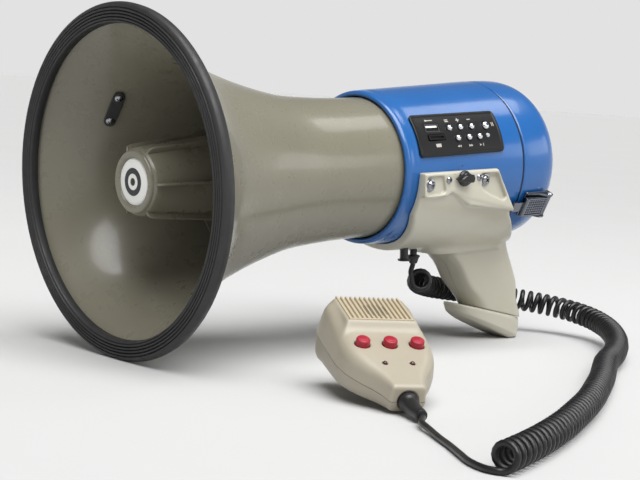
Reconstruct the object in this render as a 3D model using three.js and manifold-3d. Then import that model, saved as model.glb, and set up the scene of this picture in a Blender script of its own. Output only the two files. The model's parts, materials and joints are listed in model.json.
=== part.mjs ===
// Handheld megaphone with a separate hand microphone on a curly cord.
// Units are millimetres and +Z is up. The bell faces -Y, and +X is the megaphone's left side.
// It stands as it does on a table: on the lowest point of the rim and on the foot of the handle.

import * as THREE from 'three';
import Module from 'manifold-3d';
import { mergeVertices } from 'three/addons/utils/BufferGeometryUtils.js';

const wasm = await Module();
wasm.setup();

// ---------- driving dimensions ----------

const GAP = 0.3;                 // clearance between touching pieces
const SIDES = 40;                // sides of the large round pieces
const INNER_SIDES = 24;          // sides of the round pieces inside
const WALL = 2.5;                // moulded wall
const RIM_RADIUS = 115;          // outside of the rubber rim
const BARREL_FRONT = 211;        // along the axis, from the front plane of the rim
const BARREL_REAR = 319;
const BARREL_FRONT_RADIUS = 55;
const BARREL_REAR_RADIUS = 59.5;
const COVER_REAR = 365;          // total length of the megaphone
const BOSS_FRONT = 17;           // front plate of the reflex horn
const FOOT_REST = { t: 370, drop: 140 };   // where the foot of the handle meets the table

const PANEL_ANGLE = 27;          // degrees above the left side of the barrel
const PANEL = { front: 218, rear: 299, halfWidth: 15.8, lift: 1.9 };
const KNOB = { t: 254, up: -5 };
const LATCH_ANGLE = -28;
const STRAP_ANGLE = 146;
const GRIP_SIDE = 62.4;          // half width of the flat sides of the grip bracket
const BIG_SCREWS = [{ t: 223.5, up: -8.5 }, { t: 278, up: -7.5 }];
const SMALL_SCREWS = [{ t: 239.5, up: -5.5 }, { t: 269.5, up: -5.2 }];
const CORD_EXIT = { x: 7, t: 260, drop: 73 };

const MIC_LENGTH = 100;
const MIC_NECK = { x: 217, y: 62, heading: -24 };
const MIC_HOOK_FOOT = { x: -84.9, z: -33.25 };
const MIC_NECK_DEPTH = 8;
const MIC_BOOT = { length: 24, up: 0.5 };   // the strain relief, which bends down to the table

const WIRE_RADIUS = 1.9;
const CURL_RADIUS = 8.75;        // outside of the curly part

const DEG = Math.PI / 180;
const rimRest = RIM_RADIUS * Math.cos(Math.PI / SIDES);
const RIM_REST_T = 4.5;
const nose = Math.atan((FOOT_REST.drop - rimRest) / (FOOT_REST.t - RIM_REST_T));
const rimHeight = rimRest * Math.cos(nose) - RIM_REST_T * Math.sin(nose);

// ---------- materials ----------

const finish = (color, roughness, metalness = 0) => (
  new THREE.MeshStandardMaterial({ color, roughness, metalness })
);
const BEIGE = finish(0x8f8b7c, 0.35);
const BLUE = finish(0x2f6cb3, 0.3);
const RUBBER = finish(0x3b3b3a, 0.75);
const BLACK = finish(0x17181a, 0.4);
const CHROME = finish(0xc9ccd0, 0.2, 1);
const STEEL = finish(0x8d8f92, 0.4, 1);
const WHITE = finish(0xe6e6e2, 0.45);
const CREAM = finish(0xbdb7a6, 0.4);
const RED = finish(0xb3243a, 0.4);
const DARK_RED = finish(0x3a0d10, 0.25);
const BOARD = finish(0x1f5a34, 0.6);
const WRAP = finish(0x2b4c86, 0.5);
const CORD = finish(0x111213, 0.45);

// ---------- shape helpers ----------

function clean(geometry) {
  const bare = geometry.index ? geometry : mergeVertices(geometry);
  for (const name of Object.keys(bare.attributes)) {
    if (name !== 'position') bare.deleteAttribute(name);
  }
  const merged = mergeVertices(bare);
  const index = merged.index.array;
  const kept = [];
  for (let i = 0; i < index.length; i += 3) {
    const [a, b, c] = [index[i], index[i + 1], index[i + 2]];
    if (a !== b && b !== c && c !== a) kept.push(a, b, c);
  }
  merged.setIndex(kept);
  return merged;
}

function toSolid(geometry) {
  const shape = clean(geometry);
  const vertProperties = new Float32Array(shape.attributes.position.array);
  const triVerts = new Uint32Array(shape.index.array);
  return new wasm.Manifold(new wasm.Mesh({ numProp: 3, vertProperties, triVerts }));
}

function fromSolid(solid) {
  const mesh = solid.getMesh();
  const geometry = new THREE.BufferGeometry();
  const places = new Float32Array(mesh.numVert * 3);
  for (let i = 0; i < mesh.numVert; i += 1) {
    for (let k = 0; k < 3; k += 1) places[i * 3 + k] = mesh.vertProperties[i * mesh.numProp + k];
  }
  geometry.setAttribute('position', new THREE.BufferAttribute(places, 3));
  geometry.setIndex(Array.from(mesh.triVerts));
  return geometry;
}

function joined(...geometries) {
  return fromSolid(geometries.map(toSolid).reduce((sum, next) => sum.add(next)));
}

function cut(geometry, ...cutters) {
  return fromSolid(cutters.map(toSolid).reduce((rest, next) => rest.subtract(next), toSolid(geometry)));
}

function common(a, b) {
  return fromSolid(toSolid(a).intersect(toSolid(b)));
}

// A turned piece about the Y axis, from [radius, y] points that start and end on the axis or close.
function turned(points, sides = SIDES) {
  let area = 0;
  points.forEach(([r, y], i) => {
    const [r2, y2] = points[(i + 1) % points.length];
    area += r * y2 - r2 * y;
  });
  const ordered = area > 0 ? points : [...points].reverse();
  return clean(new THREE.LatheGeometry(ordered.map(([r, y]) => new THREE.Vector2(r, y)), sides));
}

function ringProfile(points) {
  return [...points, points[0]];
}

// The closed profile of a wall of even thickness inside an open outer line.
function wallProfile(outer, wall) {
  const inner = outer.map((point, i) => {
    const [r1, y1] = outer[Math.max(i - 1, 0)];
    const [r2, y2] = outer[Math.min(i + 1, outer.length - 1)];
    const length = Math.hypot(r2 - r1, y2 - y1);
    return [point[0] - wall * (y2 - y1) / length, point[1] + wall * (r2 - r1) / length];
  });
  return ringProfile([...outer, ...inner.reverse()]);
}

function block(x0, x1, y0, y1, z0, z1) {
  const box = new THREE.BoxGeometry(x1 - x0, y1 - y0, z1 - z0);
  return box.translate((x0 + x1) / 2, (y0 + y1) / 2, (z0 + z1) / 2);
}

function rod(radius, from, to, sides = 20) {
  const start = new THREE.Vector3(...from);
  const end = new THREE.Vector3(...to);
  const along = end.clone().sub(start);
  const shape = new THREE.CylinderGeometry(radius, radius, along.length(), sides);
  const turn = new THREE.Quaternion().setFromUnitVectors(
    new THREE.Vector3(0, 1, 0), along.clone().normalize());
  return shape.applyQuaternion(turn).translate(...start.add(end).multiplyScalar(0.5).toArray());
}

// A turned piece set on an axis that points along `direction`, with its zero at `origin`.
function turnedOn(points, origin, direction, sides = 20) {
  const turn = new THREE.Quaternion().setFromUnitVectors(
    new THREE.Vector3(0, 1, 0), new THREE.Vector3(...direction).normalize());
  return turned(points, sides).applyQuaternion(turn).translate(...origin);
}

function outline(points) {
  return new THREE.Shape(points.map(([x, y]) => new THREE.Vector2(x, y)));
}

// A side view outline in [y, z], given its thickness from x0 to x1.
function sideCut(points, x0, x1) {
  const shape = new THREE.ExtrudeGeometry(outline(points), { depth: x1 - x0, bevelEnabled: false });
  const axes = new THREE.Matrix4().makeBasis(
    new THREE.Vector3(0, 1, 0), new THREE.Vector3(0, 0, 1), new THREE.Vector3(1, 0, 0));
  return shape.applyMatrix4(axes).translate(x0, 0, 0);
}

// A closed body through rings of equal count, with flat or domed ends.
function loft(rings) {
  const count = rings[0].length;
  const places = rings.flat().flatMap((p) => [p.x, p.y, p.z]);
  const index = [];
  for (let i = 0; i + 1 < rings.length; i += 1) {
    for (let k = 0; k < count; k += 1) {
      const [a, b] = [i * count + k, i * count + (k + 1) % count];
      index.push(a, b, b + count, a, b + count, a + count);
    }
  }
  for (const [ring, flip] of [[0, true], [rings.length - 1, false]]) {
    const centre = new THREE.Vector3();
    rings[ring].forEach((p) => centre.addScaledVector(p, 1 / count));
    const hub = places.length / 3;
    places.push(centre.x, centre.y, centre.z);
    for (let k = 0; k < count; k += 1) {
      const [a, b] = [ring * count + k, ring * count + (k + 1) % count];
      index.push(hub, flip ? b : a, flip ? a : b);
    }
  }
  const geometry = new THREE.BufferGeometry();
  geometry.setAttribute('position', new THREE.Float32BufferAttribute(places, 3));
  geometry.setIndex(index);
  const solid = toSolid(geometry);
  if (solid.volume() > 0) return geometry;
  for (let i = 0; i < index.length; i += 3) index.splice(i, 3, index[i], index[i + 2], index[i + 1]);
  geometry.setIndex(index);
  return geometry;
}

// A rounded oval ring in a level or tilted plane. A power of 2 is an ellipse, and more is boxier.
function oval({ y, drop, halfX, halfY, power = 2.8, tilt = 0, count = 28 }) {
  return Array.from({ length: count }, (_, k) => {
    const angle = 2 * Math.PI * (k + 0.5) / count;
    const [c, s] = [Math.cos(angle), Math.sin(angle)];
    const x = halfX * Math.sign(c) * Math.abs(c) ** (2 / power);
    const along = halfY * Math.sign(s) * Math.abs(s) ** (2 / power);
    return new THREE.Vector3(x, y + along * Math.cos(tilt), -drop - along * Math.sin(tilt));
  });
}

function tube(points, radius, sides, steps) {
  const curve = new THREE.CatmullRomCurve3(points.map((p) => new THREE.Vector3(...p)), false, 'centripetal');
  const section = outline(Array.from({ length: sides }, (_, k) => {
    const angle = 2 * Math.PI * k / sides;
    return [radius * Math.cos(angle), radius * Math.sin(angle)];
  }));
  return clean(new THREE.ExtrudeGeometry(section, { steps, extrudePath: curve, bevelEnabled: false }));
}

function add(parent, name, geometry, material) {
  const mesh = new THREE.Mesh(clean(geometry), material);
  mesh.name = name;
  parent.add(mesh);
  return mesh;
}

// A frame on the barrel: +X points outwards at an angle above the left side, +Y along the axis.
function radialFrame(parent, degrees) {
  const frame = new THREE.Group();
  frame.rotation.y = -degrees * DEG;
  parent.add(frame);
  return frame;
}

const barrelRadius = (t) => BARREL_FRONT_RADIUS
  + (t - BARREL_FRONT) * (BARREL_REAR_RADIUS - BARREL_FRONT_RADIUS) / (BARREL_REAR - BARREL_FRONT);

// ---------- bell, rim and reflex horn ----------

const BELL_OUTER = [
  [112.4, 6.6], [108.5, 8.2], [97.5, 20], [86, 35], [75.5, 55], [66.3, 80], [57.9, 110],
  [53.4, 132], [51.3, 155], [50.1, 182], [50, 212],
];
const STRAP_FRAME = { radius: 80.4, t: 46, lean: 30 };
const STRAP_SCREW = 9.5;

function strapFrame(parent) {
  const frame = new THREE.Group();
  frame.position.set(STRAP_FRAME.radius, STRAP_FRAME.t, 0);
  frame.rotation.z = STRAP_FRAME.lean * DEG;
  radialFrame(parent, STRAP_ANGLE).add(frame);
  return frame;
}

function addBell(parent) {
  const matrix = new THREE.Matrix4().makeRotationY(-STRAP_ANGLE * DEG)
    .multiply(new THREE.Matrix4().makeTranslation(STRAP_FRAME.radius, STRAP_FRAME.t, 0))
    .multiply(new THREE.Matrix4().makeRotationZ(STRAP_FRAME.lean * DEG));
  const holes = [-STRAP_SCREW, STRAP_SCREW].map((z) => (
    rod(2.1, [-9, 0, z], [4, 0, z], 12).applyMatrix4(matrix)
  ));
  add(parent, 'horn_bell', cut(turned(wallProfile(BELL_OUTER, WALL)), ...holes), BEIGE);

  const rim = [
    [101.3, 6.8], [101.3, 2.6], [102.6, 0.5], [106.4, 0.1], [112.8, 0.8], [114.6, 2.4],
    [RIM_RADIUS, RIM_REST_T], [114.4, 7.8], [112.9, 9.5], [109.9, 9.3], [109.8, 8.3], [112.8, 7],
    [112.8, 3.9], [111.2, 3.7], [106.5, 5.7],
  ];
  const trim = turned(ringProfile(rim)).rotateY(Math.PI / SIDES);
  add(parent, 'rim_trim', trim, RUBBER);
}

function addReflexHorn(parent) {
  const cup = turned([
    [0, BOSS_FRONT], [21, BOSS_FRONT], [22.3, 18.4], [24.6, 45], [27, 70], [31, 112], [28.6, 112],
    [24.7, 70], [22.3, 45], [20, 19.6], [0, 19.6],
  ], INNER_SIDES);
  const vane = [
    [21, 18.6], [25, 18.9], [26.6, 22], [28.6, 45], [31, 70], [36, 86], [54, 101], [54, 112], [30, 112],
  ];
  const vanes = Array.from({ length: 6 }, (_, k) => {
    const plate = new THREE.ExtrudeGeometry(outline(vane), { depth: 1.8, bevelEnabled: false });
    return plate.translate(0, 0, -0.9).rotateY(k * 60 * DEG);
  });
  const collar = turned(ringProfile([
    [15.9, 17.5], [15.9, 15], [17, 14.3], [20.6, 14.5], [21, 15.6], [21, 17.5],
  ]), INNER_SIDES);
  add(parent, 'reflex_horn', joined(cup, collar, ...vanes), BEIGE);
  const badge = [[0, 14.6], [13, 14.9], [15.4, 15.5], [15.4, 16.7], [0, 16.7]];
  add(parent, 'boss_badge', turned(badge, INNER_SIDES), WHITE);
}

function addDriver(parent) {
  const housing = ringProfile([
    [8.4, 36], [10.8, 36], [14, 149], [20, 150.2], [46.5, 150.2], [46.5, 158.2], [30, 158.2],
    [30, 153], [11.6, 153],
  ]);
  add(parent, 'driver_housing', turned(housing, INNER_SIDES), BLACK);
  const dome = [
    [0, 153.6], [12, 154.3], [20, 155.9], [28, 156.4], [28, 157.6], [20, 157.2], [12, 155.7], [0, 155],
  ];
  add(parent, 'driver_diaphragm', turned(dome, INNER_SIDES), WRAP);
  const magnet = [
    [0, 158.6], [41, 158.6], [41, 164], [37.5, 165], [37.5, 188], [41, 189], [41, 195], [0, 195],
  ];
  add(parent, 'driver_magnet', turned(magnet, INNER_SIDES), STEEL);
}

function addStrapFittings(parent) {
  const frame = strapFrame(parent);
  const holes = [-STRAP_SCREW, STRAP_SCREW];
  const plateHoles = holes.map((z) => rod(2.1, [-8, 0, z], [-3, 0, z], 12));
  add(frame, 'strap_plate', cut(block(-6, -4.6, -4, 4, -14, 14), ...plateHoles), BLACK);
  const screw = [[0, -7.9], [2.4, -7.7], [3.2, -6.9], [3.2, -6.3], [1.7, -6.3], [1.7, 1.6], [0, 1.6]];
  holes.forEach((z, i) => {
    add(frame, `strap_screw_${i + 1}`, turnedOn(screw, [0, 0, z], [1, 0, 0], 14), CHROME);
  });
  const sockets = holes.map((z) => rod(2.1, [0, 0, z], [2, 0, z], 12));
  const lug = joined(block(0.4, 3, -5, 5, -14, 14), block(2.5, 10.5, -5, 5, -2, 2));
  add(frame, 'strap_lug', cut(lug, ...sockets, rod(2.8, [6.6, 0, -3], [6.6, 0, 3])), STEEL);

  const hinge = new THREE.Group();
  hinge.position.set(6.6, 0, 0);
  hinge.rotation.z = 80 * DEG;
  frame.add(hinge);
  const ring = outline([[-1.5, -13], [14, -13], [19, -8], [19, 8], [14, 13], [-1.5, 13]]);
  const opening = outline([[1.5, -10], [12.8, -10], [16, -6.8], [16, 6.8], [12.8, 10], [1.5, 10]]);
  ring.holes.push(new THREE.Path(opening.getPoints().reverse()));
  const loop = new THREE.ExtrudeGeometry(ring, { depth: 3, bevelEnabled: false });
  add(hinge, 'strap_ring', loop.translate(0, 0, -1.5).rotateX(Math.PI / 2), STEEL);
}

// ---------- barrel, battery cover and electronics ----------

const KEEPER = { front: 314.6, rear: 316.8, halfWidth: 4, top: 61.9 };
const panelMatrix = new THREE.Matrix4().makeRotationY(-PANEL_ANGLE * DEG);

function addBarrel(parent) {
  const shell = turned(ringProfile([
    [50.6, 209.4], [51.3, 207], [53.2, 206.3], [54.6, 207.6], [BARREL_FRONT_RADIUS, BARREL_FRONT],
    [BARREL_REAR_RADIUS, BARREL_REAR], [57, BARREL_REAR], [52.5, 212.6], [50.6, 212.2],
  ]));
  const window = block(46, 64, PANEL.front + 6, PANEL.rear - 5, -11, 11).applyMatrix4(panelMatrix);
  const keepers = [LATCH_ANGLE, 180 - LATCH_ANGLE].map((angle) => (
    block(57.6, KEEPER.top, KEEPER.front, KEEPER.rear, -KEEPER.halfWidth, KEEPER.halfWidth)
      .rotateY(-angle * DEG)
  ));
  const knobHole = rod(4, [40, KNOB.t, KNOB.up], [66, KNOB.t, KNOB.up]);
  const wireHole = rod(3, [CORD_EXIT.x, CORD_EXIT.t, -66], [CORD_EXIT.x, CORD_EXIT.t, -46]);
  const screwHoles = [1, -1].flatMap((side) => BIG_SCREWS.map(({ t, up }) => (
    rod(2.3, [side * 48, t, up], [side * 62, t, up], 12)
  )));
  const smallHoles = SMALL_SCREWS.map(({ t, up }) => rod(1.6, [48, t, up], [66, t, up], 12));
  const jackHole = rod(3.4, [18, 240, -80], [18, 240, -46]);
  add(parent, 'barrel_shell', cut(
    joined(shell, ...keepers), window, knobHole, wireHole, jackHole, ...screwHoles, ...smallHoles), BLUE);

  const seal = ringProfile([[57.3, 319.35], [59, 319.35], [59, 320.45], [57.3, 320.45]]);
  add(parent, 'seam_seal', turned(seal), RUBBER);

  const cover = [
    [0, COVER_REAR], [36, 364.6], [45, 362.8], [52.5, 358.5], [57, 352], [59, 345], [59.6, 335],
    [59.5, 320.8], [56.2, 320.8], [56.2, 313.2], [54, 313.2], [54, 322], [56.8, 327], [56.4, 344],
    [53.5, 352], [46, 358.7], [35, 361.9], [0, 362.3],
  ];
  add(parent, 'battery_cover', turned(cover), BLUE);
}

function addBatteries(parent) {
  const outer = turned([[0, 228], [38.5, 228], [38.5, 346], [0, 346]], INNER_SIDES);
  const room = turned([[0, 230.5], [36, 230.5], [36, 347], [0, 347]], INNER_SIDES);
  const upperHalf = block(-40, 40, 226, 348, 6, 40);
  add(parent, 'battery_holder', cut(outer, room, upperHalf), BLACK);
  const section = Array.from({ length: 24 }, (_, k) => {
    const angle = 2 * Math.PI * (k + 0.5) / 24;
    const [c, s] = [Math.cos(angle), Math.sin(angle)];
    return [27.5 * Math.sign(c) * Math.abs(c) ** 0.5, 27.5 * Math.sign(s) * Math.abs(s) ** 0.5];
  });
  const pack = new THREE.ExtrudeGeometry(outline(section), { depth: 108, bevelEnabled: false });
  add(parent, 'battery_pack', pack.rotateX(-Math.PI / 2).translate(0, 232, 0), WRAP);
}

const BUTTON_ROWS = [
  { up: 4, places: [250.5, 261.3, 272.1], head: 2.3 },
  { up: -4, places: [256, 266.8, 277], head: 2.3 },
];
const MODE_BUTTON = { up: 4, t: 286, head: 3 };
const LED = { up: -3.4, t: 286 };
const USB = { up: 5, t: 234.7, halfT: 7, halfUp: 3 };
const SLOT = { up: -2.4, t: 236.4, halfT: 7.8, halfUp: 2 };

function panelButtons() {
  const small = BUTTON_ROWS.flatMap(({ up, places, head }) => places.map((t) => ({ up, t, head })));
  return [...small, MODE_BUTTON];
}

function addPanel(parent) {
  const skin = turned(ringProfile([
    [barrelRadius(216) + 0.35, 216], [barrelRadius(301) + 0.35, 301],
    [barrelRadius(301) + PANEL.lift, 301], [barrelRadius(216) + PANEL.lift, 216],
  ]));
  const corner = 4;
  const shape = new THREE.Shape();
  const [left, right, half] = [PANEL.front, PANEL.rear, PANEL.halfWidth];
  shape.moveTo(left + corner, -half);
  shape.absarc(right - corner, -half + corner, corner, -Math.PI / 2, 0);
  shape.absarc(right - corner, half - corner, corner, 0, Math.PI / 2);
  shape.absarc(left + corner, half - corner, corner, Math.PI / 2, Math.PI);
  shape.absarc(left + corner, -half + corner, corner, Math.PI, 1.5 * Math.PI);
  const face = new THREE.ExtrudeGeometry(shape, { depth: 30, curveSegments: 4, bevelEnabled: false });
  const axes = new THREE.Matrix4().makeBasis(
    new THREE.Vector3(0, 1, 0), new THREE.Vector3(0, 0, 1), new THREE.Vector3(1, 0, 0));
  face.applyMatrix4(axes).translate(42, 0, 0);
  const holes = panelButtons().map(({ up, t, head }) => rod(head + GAP, [45, t, up], [68, t, up], 14));
  const slots = [USB, SLOT].map(({ up, t, halfT, halfUp }) => (
    block(45, 68, t - halfT - GAP, t + halfT + GAP, up - halfUp - GAP, up + halfUp + GAP)
  ));
  const led = rod(1.8 + GAP, [45, LED.t, LED.up], [68, LED.t, LED.up], 12);
  const plate = face.applyMatrix4(panelMatrix);
  const cutters = [...holes, ...slots, led].map((cutter) => cutter.applyMatrix4(panelMatrix));
  add(parent, 'control_panel', cut(common(skin, plate), ...cutters), BLACK);

  const frame = radialFrame(parent, PANEL_ANGLE);
  add(frame, 'main_board', block(41.6, 43.2, 222, 294, -13, 13), BOARD);
  const usbBox = block(
    44, 57.2, USB.t - USB.halfT, USB.t + USB.halfT, USB.up - USB.halfUp, USB.up + USB.halfUp);
  const usbRoom = block(48, 60, USB.t - 6.2, USB.t + 6.2, USB.up - 2.3, USB.up + 2.3);
  const usbTongue = block(47, 56, USB.t - 5.6, USB.t + 5.6, USB.up - 0.1, USB.up + 1.5);
  add(frame, 'usb_socket', joined(cut(usbBox, usbRoom), usbTongue), CHROME);
  const slotBox = block(
    44, 57.4, SLOT.t - SLOT.halfT, SLOT.t + SLOT.halfT, SLOT.up - SLOT.halfUp, SLOT.up + SLOT.halfUp);
  const slotRoom = block(49, 60, SLOT.t - 6.4, SLOT.t + 6.4, SLOT.up - 0.7, SLOT.up + 0.7);
  add(frame, 'card_slot', cut(slotBox, slotRoom), BLACK);
  const ledBody = [[0, 46], [1.8, 46], [1.8, 59], [1.2, 59.8], [0, 60]];
  add(frame, 'panel_led', turnedOn(ledBody, [0, LED.t, LED.up], [1, 0, 0], 12), WHITE);

  panelButtons().forEach(({ up, t, head }, i) => {
    const top = barrelRadius(t) + PANEL.lift - up * up / (2 * barrelRadius(t));
    const body = [
      [0, 45], [1.4, 45], [1.4, 51], [head, 51.6], [head, top + 0.6], [head * 0.75, top + 1.5],
      [0, top + 1.9],
    ];
    add(frame, `panel_button_${i + 1}`, turnedOn(body, [0, t, up], [1, 0, 0], 12), CHROME);
  });
}

// ---------- grip ----------

const FOOT_TOP = { t: 341, drop: 116, tilt: 14.7 * DEG };

function gripBody() {
  const band = turned(ringProfile([
    [40, 214], [BARREL_FRONT_RADIUS + 5, 214], [BARREL_REAR_RADIUS + 6.4, 336], [66.6, 352], [40, 352],
  ]));
  const sideView = sideCut([
    [217, 0], [289, 0], [303, -23], [313, -36], [328, -49], [347, -62], [350, -72], [238, -72], [224, -46],
    [216, -30],
  ], -80, 80);
  const saddle = common(band, sideView);
  const pads = [1, -1].map((side) => {
    const [inner, outer] = [side * 50, side * GRIP_SIDE];
    const outlineView = [[217, 0], [289, 0], [297.5, -14], [242, -14], [239, -17], [217, -17]];
    return sideCut(outlineView, Math.min(inner, outer), Math.max(inner, outer));
  });
  const wedges = [1, -1].map((side) => {
    const outlineView = [[240, -13], [296, -13], [303, -23], [309, -32], [262, -26]];
    const [inner, outer] = [side * 46, side * 62];
    return sideCut(outlineView, Math.min(inner, outer), Math.max(inner, outer));
  });
  const neck = loft([
    oval({ y: 281, drop: 24, halfX: 55, halfY: 43, power: 3.4 }),
    oval({ y: 288, drop: 40, halfX: 45, halfY: 41, power: 3.4 }),
    oval({ y: 296, drop: 52, halfX: 32, halfY: 40, power: 3.4 }),
    oval({ y: 306, drop: 63, halfX: 21.5, halfY: 38, power: 3.6 }),
    oval({ y: 311, drop: 66.5, halfX: 18, halfY: 34.5, power: 3.4 }),
  ]);
  const column = loft([
    oval({ y: 314, drop: 58, halfX: 18, halfY: 36 }),
    oval({ y: 322, drop: 68, halfX: 17, halfY: 31 }),
    oval({ y: 329.5, drop: 78, halfX: 15.8, halfY: 28.5 }),
    oval({ y: 336, drop: 90, halfX: 15.5, halfY: 27.7 }),
    oval({ y: 344, drop: 104, halfX: 15, halfY: 26.6 }),
    oval({ y: 350, drop: 118, halfX: 15.2, halfY: 25.5 }),
    oval({ y: 352, drop: 126, halfX: 15.4, halfY: 25.5 }),
  ]);
  const hollow = loft([
    oval({ y: 312, drop: 50, halfX: 15, halfY: 30 }),
    oval({ y: 322, drop: 68, halfX: 13.8, halfY: 27.6 }),
    oval({ y: 329.5, drop: 78, halfX: 12.6, halfY: 25.2 }),
    oval({ y: 336, drop: 90, halfX: 12.3, halfY: 24.5 }),
    oval({ y: 344, drop: 106, halfX: 11.8, halfY: 23 }),
  ]);
  const barrelRoom = turned([
    [0, 205], [55, 205], [BARREL_FRONT_RADIUS + 0.4, BARREL_FRONT], [BARREL_REAR_RADIUS + 0.45, BARREL_REAR],
    [60.6, 323], [60.6, 372], [0, 372],
  ]);
  const belowFoot = block(-40, 40, -80, 80, -60, -0.15).rotateX(-FOOT_TOP.tilt)
    .translate(0, FOOT_TOP.t, -FOOT_TOP.drop);
  const recesses = [1, -1].flatMap((side) => BIG_SCREWS.map(({ t, up }) => (
    rod(5.2, [side * 59.6, t, up], [side * 70, t, up])
  )));
  const screwHoles = [1, -1].flatMap((side) => BIG_SCREWS.map(({ t, up }) => (
    rod(2.3, [side * 50, t, up], [side * 62, t, up], 12)
  )));
  const smallHoles = SMALL_SCREWS.map(({ t, up }) => rod(1.6, [54, t, up], [66, t, up], 12));
  const shaftHole = rod(4, [50, KNOB.t, KNOB.up], [66, KNOB.t, KNOB.up]);
  const cordHole = rod(3, [CORD_EXIT.x, CORD_EXIT.t, -80], [CORD_EXIT.x, CORD_EXIT.t, -50]);
  const jackHole = rod(3.4, [18, 240, -80], [18, 240, -46]);
  return cut(
    joined(saddle, ...pads, ...wedges, neck, column), barrelRoom, hollow, belowFoot, ...recesses,
    ...screwHoles, ...smallHoles, shaftHole, cordHole, jackHole);
}

function addGrip(parent) {
  const body = gripBody();
  add(parent, 'grip_left_shell', common(body, block(GAP / 2, 90, 150, 400, -160, 10)), BEIGE);
  add(parent, 'grip_right_shell', common(body, block(-90, -GAP / 2, 150, 400, -160, 10)), BEIGE);

  const foot = loft([
    { y: FOOT_TOP.t, drop: FOOT_TOP.drop + 0.2, halfX: 17, halfY: 36, tilt: FOOT_TOP.tilt },
    { y: 341.4, drop: 119, halfX: 17.6, halfY: 36.6, tilt: 15.5 * DEG },
    { y: 341.8, drop: 126, halfX: 17.2, halfY: 35.4, tilt: 22 * DEG },
    { y: 342, drop: 130, halfX: 14.8, halfY: 31.6, tilt: 24 * DEG },
  ].map((ring) => oval({ ...ring, power: 2.5 })));
  const table = block(-60, 60, -60, 60, -40, 0).rotateX(-nose)
    .translate(0, FOOT_REST.t, -FOOT_REST.drop);
  add(parent, 'grip_foot', cut(foot, table), BEIGE);

  const bigScrew = [
    [0, 52], [1.9, 52], [1.9, 60], [4.4, 60], [4.4, 61.4], [3.4, 62.9], [1.4, 63.4], [0, 63.4],
  ];
  [['left', 1], ['right', -1]].forEach(([side, sign]) => {
    ['front', 'rear'].forEach((place, i) => {
      const { t, up } = BIG_SCREWS[i];
      const screw = turnedOn(bigScrew, [0, t, up], [sign, 0, 0], 16);
      add(parent, `grip_screw_${side}_${place}`, screw, CHROME);
    });
  });
  const smallScrew = [[0, 56], [1.2, 56], [1.2, 62.7], [3, 62.7], [3, 63.3], [2, 64.3], [0, 64.6]];
  SMALL_SCREWS.forEach(({ t, up }, i) => {
    const name = `switch_screw_${['front', 'rear'][i]}`;
    add(parent, name, turnedOn(smallScrew, [0, t, up], [1, 0, 0], 14), CHROME);
  });

  const gland = [
    [0, -54], [2.6, -54], [2.6, -66.6], [4.8, -66.6], [4.8, -68], [3.4, -70], [2.6, -CORD_EXIT.drop],
    [0, -CORD_EXIT.drop],
  ].map(([r, z]) => [r, -z]);
  add(parent, 'cord_gland', turnedOn(gland, [CORD_EXIT.x, CORD_EXIT.t, 0], [0, 0, -1], 14), BLACK);
  const jack = [[0, 50], [3, 50], [3, 66.6], [4.6, 66.6], [4.6, 67.6], [2, 67.8], [2, 61], [0, 61]];
  add(parent, 'dc_jack', turnedOn(jack, [18, 240, 0], [0, 0, -1], 14), BLACK);
}

function addSelector(parent) {
  const body = [[0, 41], [10, 41], [10, 50], [3.6, 50.6], [3.6, 54], [0, 54]];
  add(parent, 'rotary_switch', turnedOn(body, [0, KNOB.t, KNOB.up], [1, 0, 0]), STEEL);
  const frame = new THREE.Group();
  frame.position.set(0, KNOB.t, KNOB.up);
  parent.add(frame);
  const knobBody = [[0, 54.4], [3.4, 54.4], [3.4, 62.8], [6.6, 62.8], [6.6, 65], [5.6, 69.4], [0, 69.6]];
  const knob = turnedOn(knobBody, [0, 0, 0], [1, 0, 0], 24);
  const pointer = loft([64, 71.2].map((x, i) => {
    const shrink = i ? 0.75 : 1;
    return [[8.8, 0], [3, 2.6], [-6, 2.6], [-6, -2.6], [3, -2.6]]
      .map(([y, z]) => new THREE.Vector3(x, -y * shrink, z * shrink));
  }));
  add(frame, 'selector_knob', joined(knob, pointer), BLACK);
}

// ---------- latches ----------

const LATCH_PIVOT = { x: 64, t: 346.5 };

// One cheek of a latch base, which carries the hinge pin.
function latchCheek(z0, z1) {
  const cheek = new THREE.ExtrudeGeometry(
    outline([[60.6, 340], [60.6, 349.6], [65.4, 349.6], [66.6, 348.2], [66.6, 344.8]]),
    { depth: z1 - z0, bevelEnabled: false });
  return cheek.translate(0, 0, z0);
}

function addLatch(parent, side, angle) {
  const frame = radialFrame(parent, angle);
  const base = joined(
    block(60.1, 61.5, 324, 349.6, -10.5, 10.5),
    latchCheek(8.2, 10), latchCheek(-10, -8.2));
  const pinHole = rod(1.4, [LATCH_PIVOT.x, LATCH_PIVOT.t, -12], [LATCH_PIVOT.x, LATCH_PIVOT.t, 12], 14);
  add(frame, `latch_base_${side}`, cut(base, pinHole), CHROME);
  const hinge = new THREE.Group();
  hinge.position.set(LATCH_PIVOT.x, LATCH_PIVOT.t, 0);
  frame.add(hinge);
  const tongueTip = KEEPER.front - GAP - LATCH_PIVOT.t;
  const lever = joined(
    rod(2.1, [0, 0, -7.8], [0, 0, 7.8], 14),
    rod(1.1, [0, 0, -10], [0, 0, 10], 14),
    block(-1.2, 0.6, -24, 0, -7.8, 7.8),
    block(-0.9, 0.6, tongueTip - 2, -23, -KEEPER.halfWidth, KEEPER.halfWidth),
    block(-1.6, 0.6, tongueTip - 2.2, tongueTip - 0.1, -KEEPER.halfWidth, KEEPER.halfWidth),
    block(0.4, 2.6, -23.8, -21.6, -7.8, 7.8));
  add(hinge, `latch_lever_${side}`, lever, CHROME);
}

// ---------- hand microphone ----------

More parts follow.
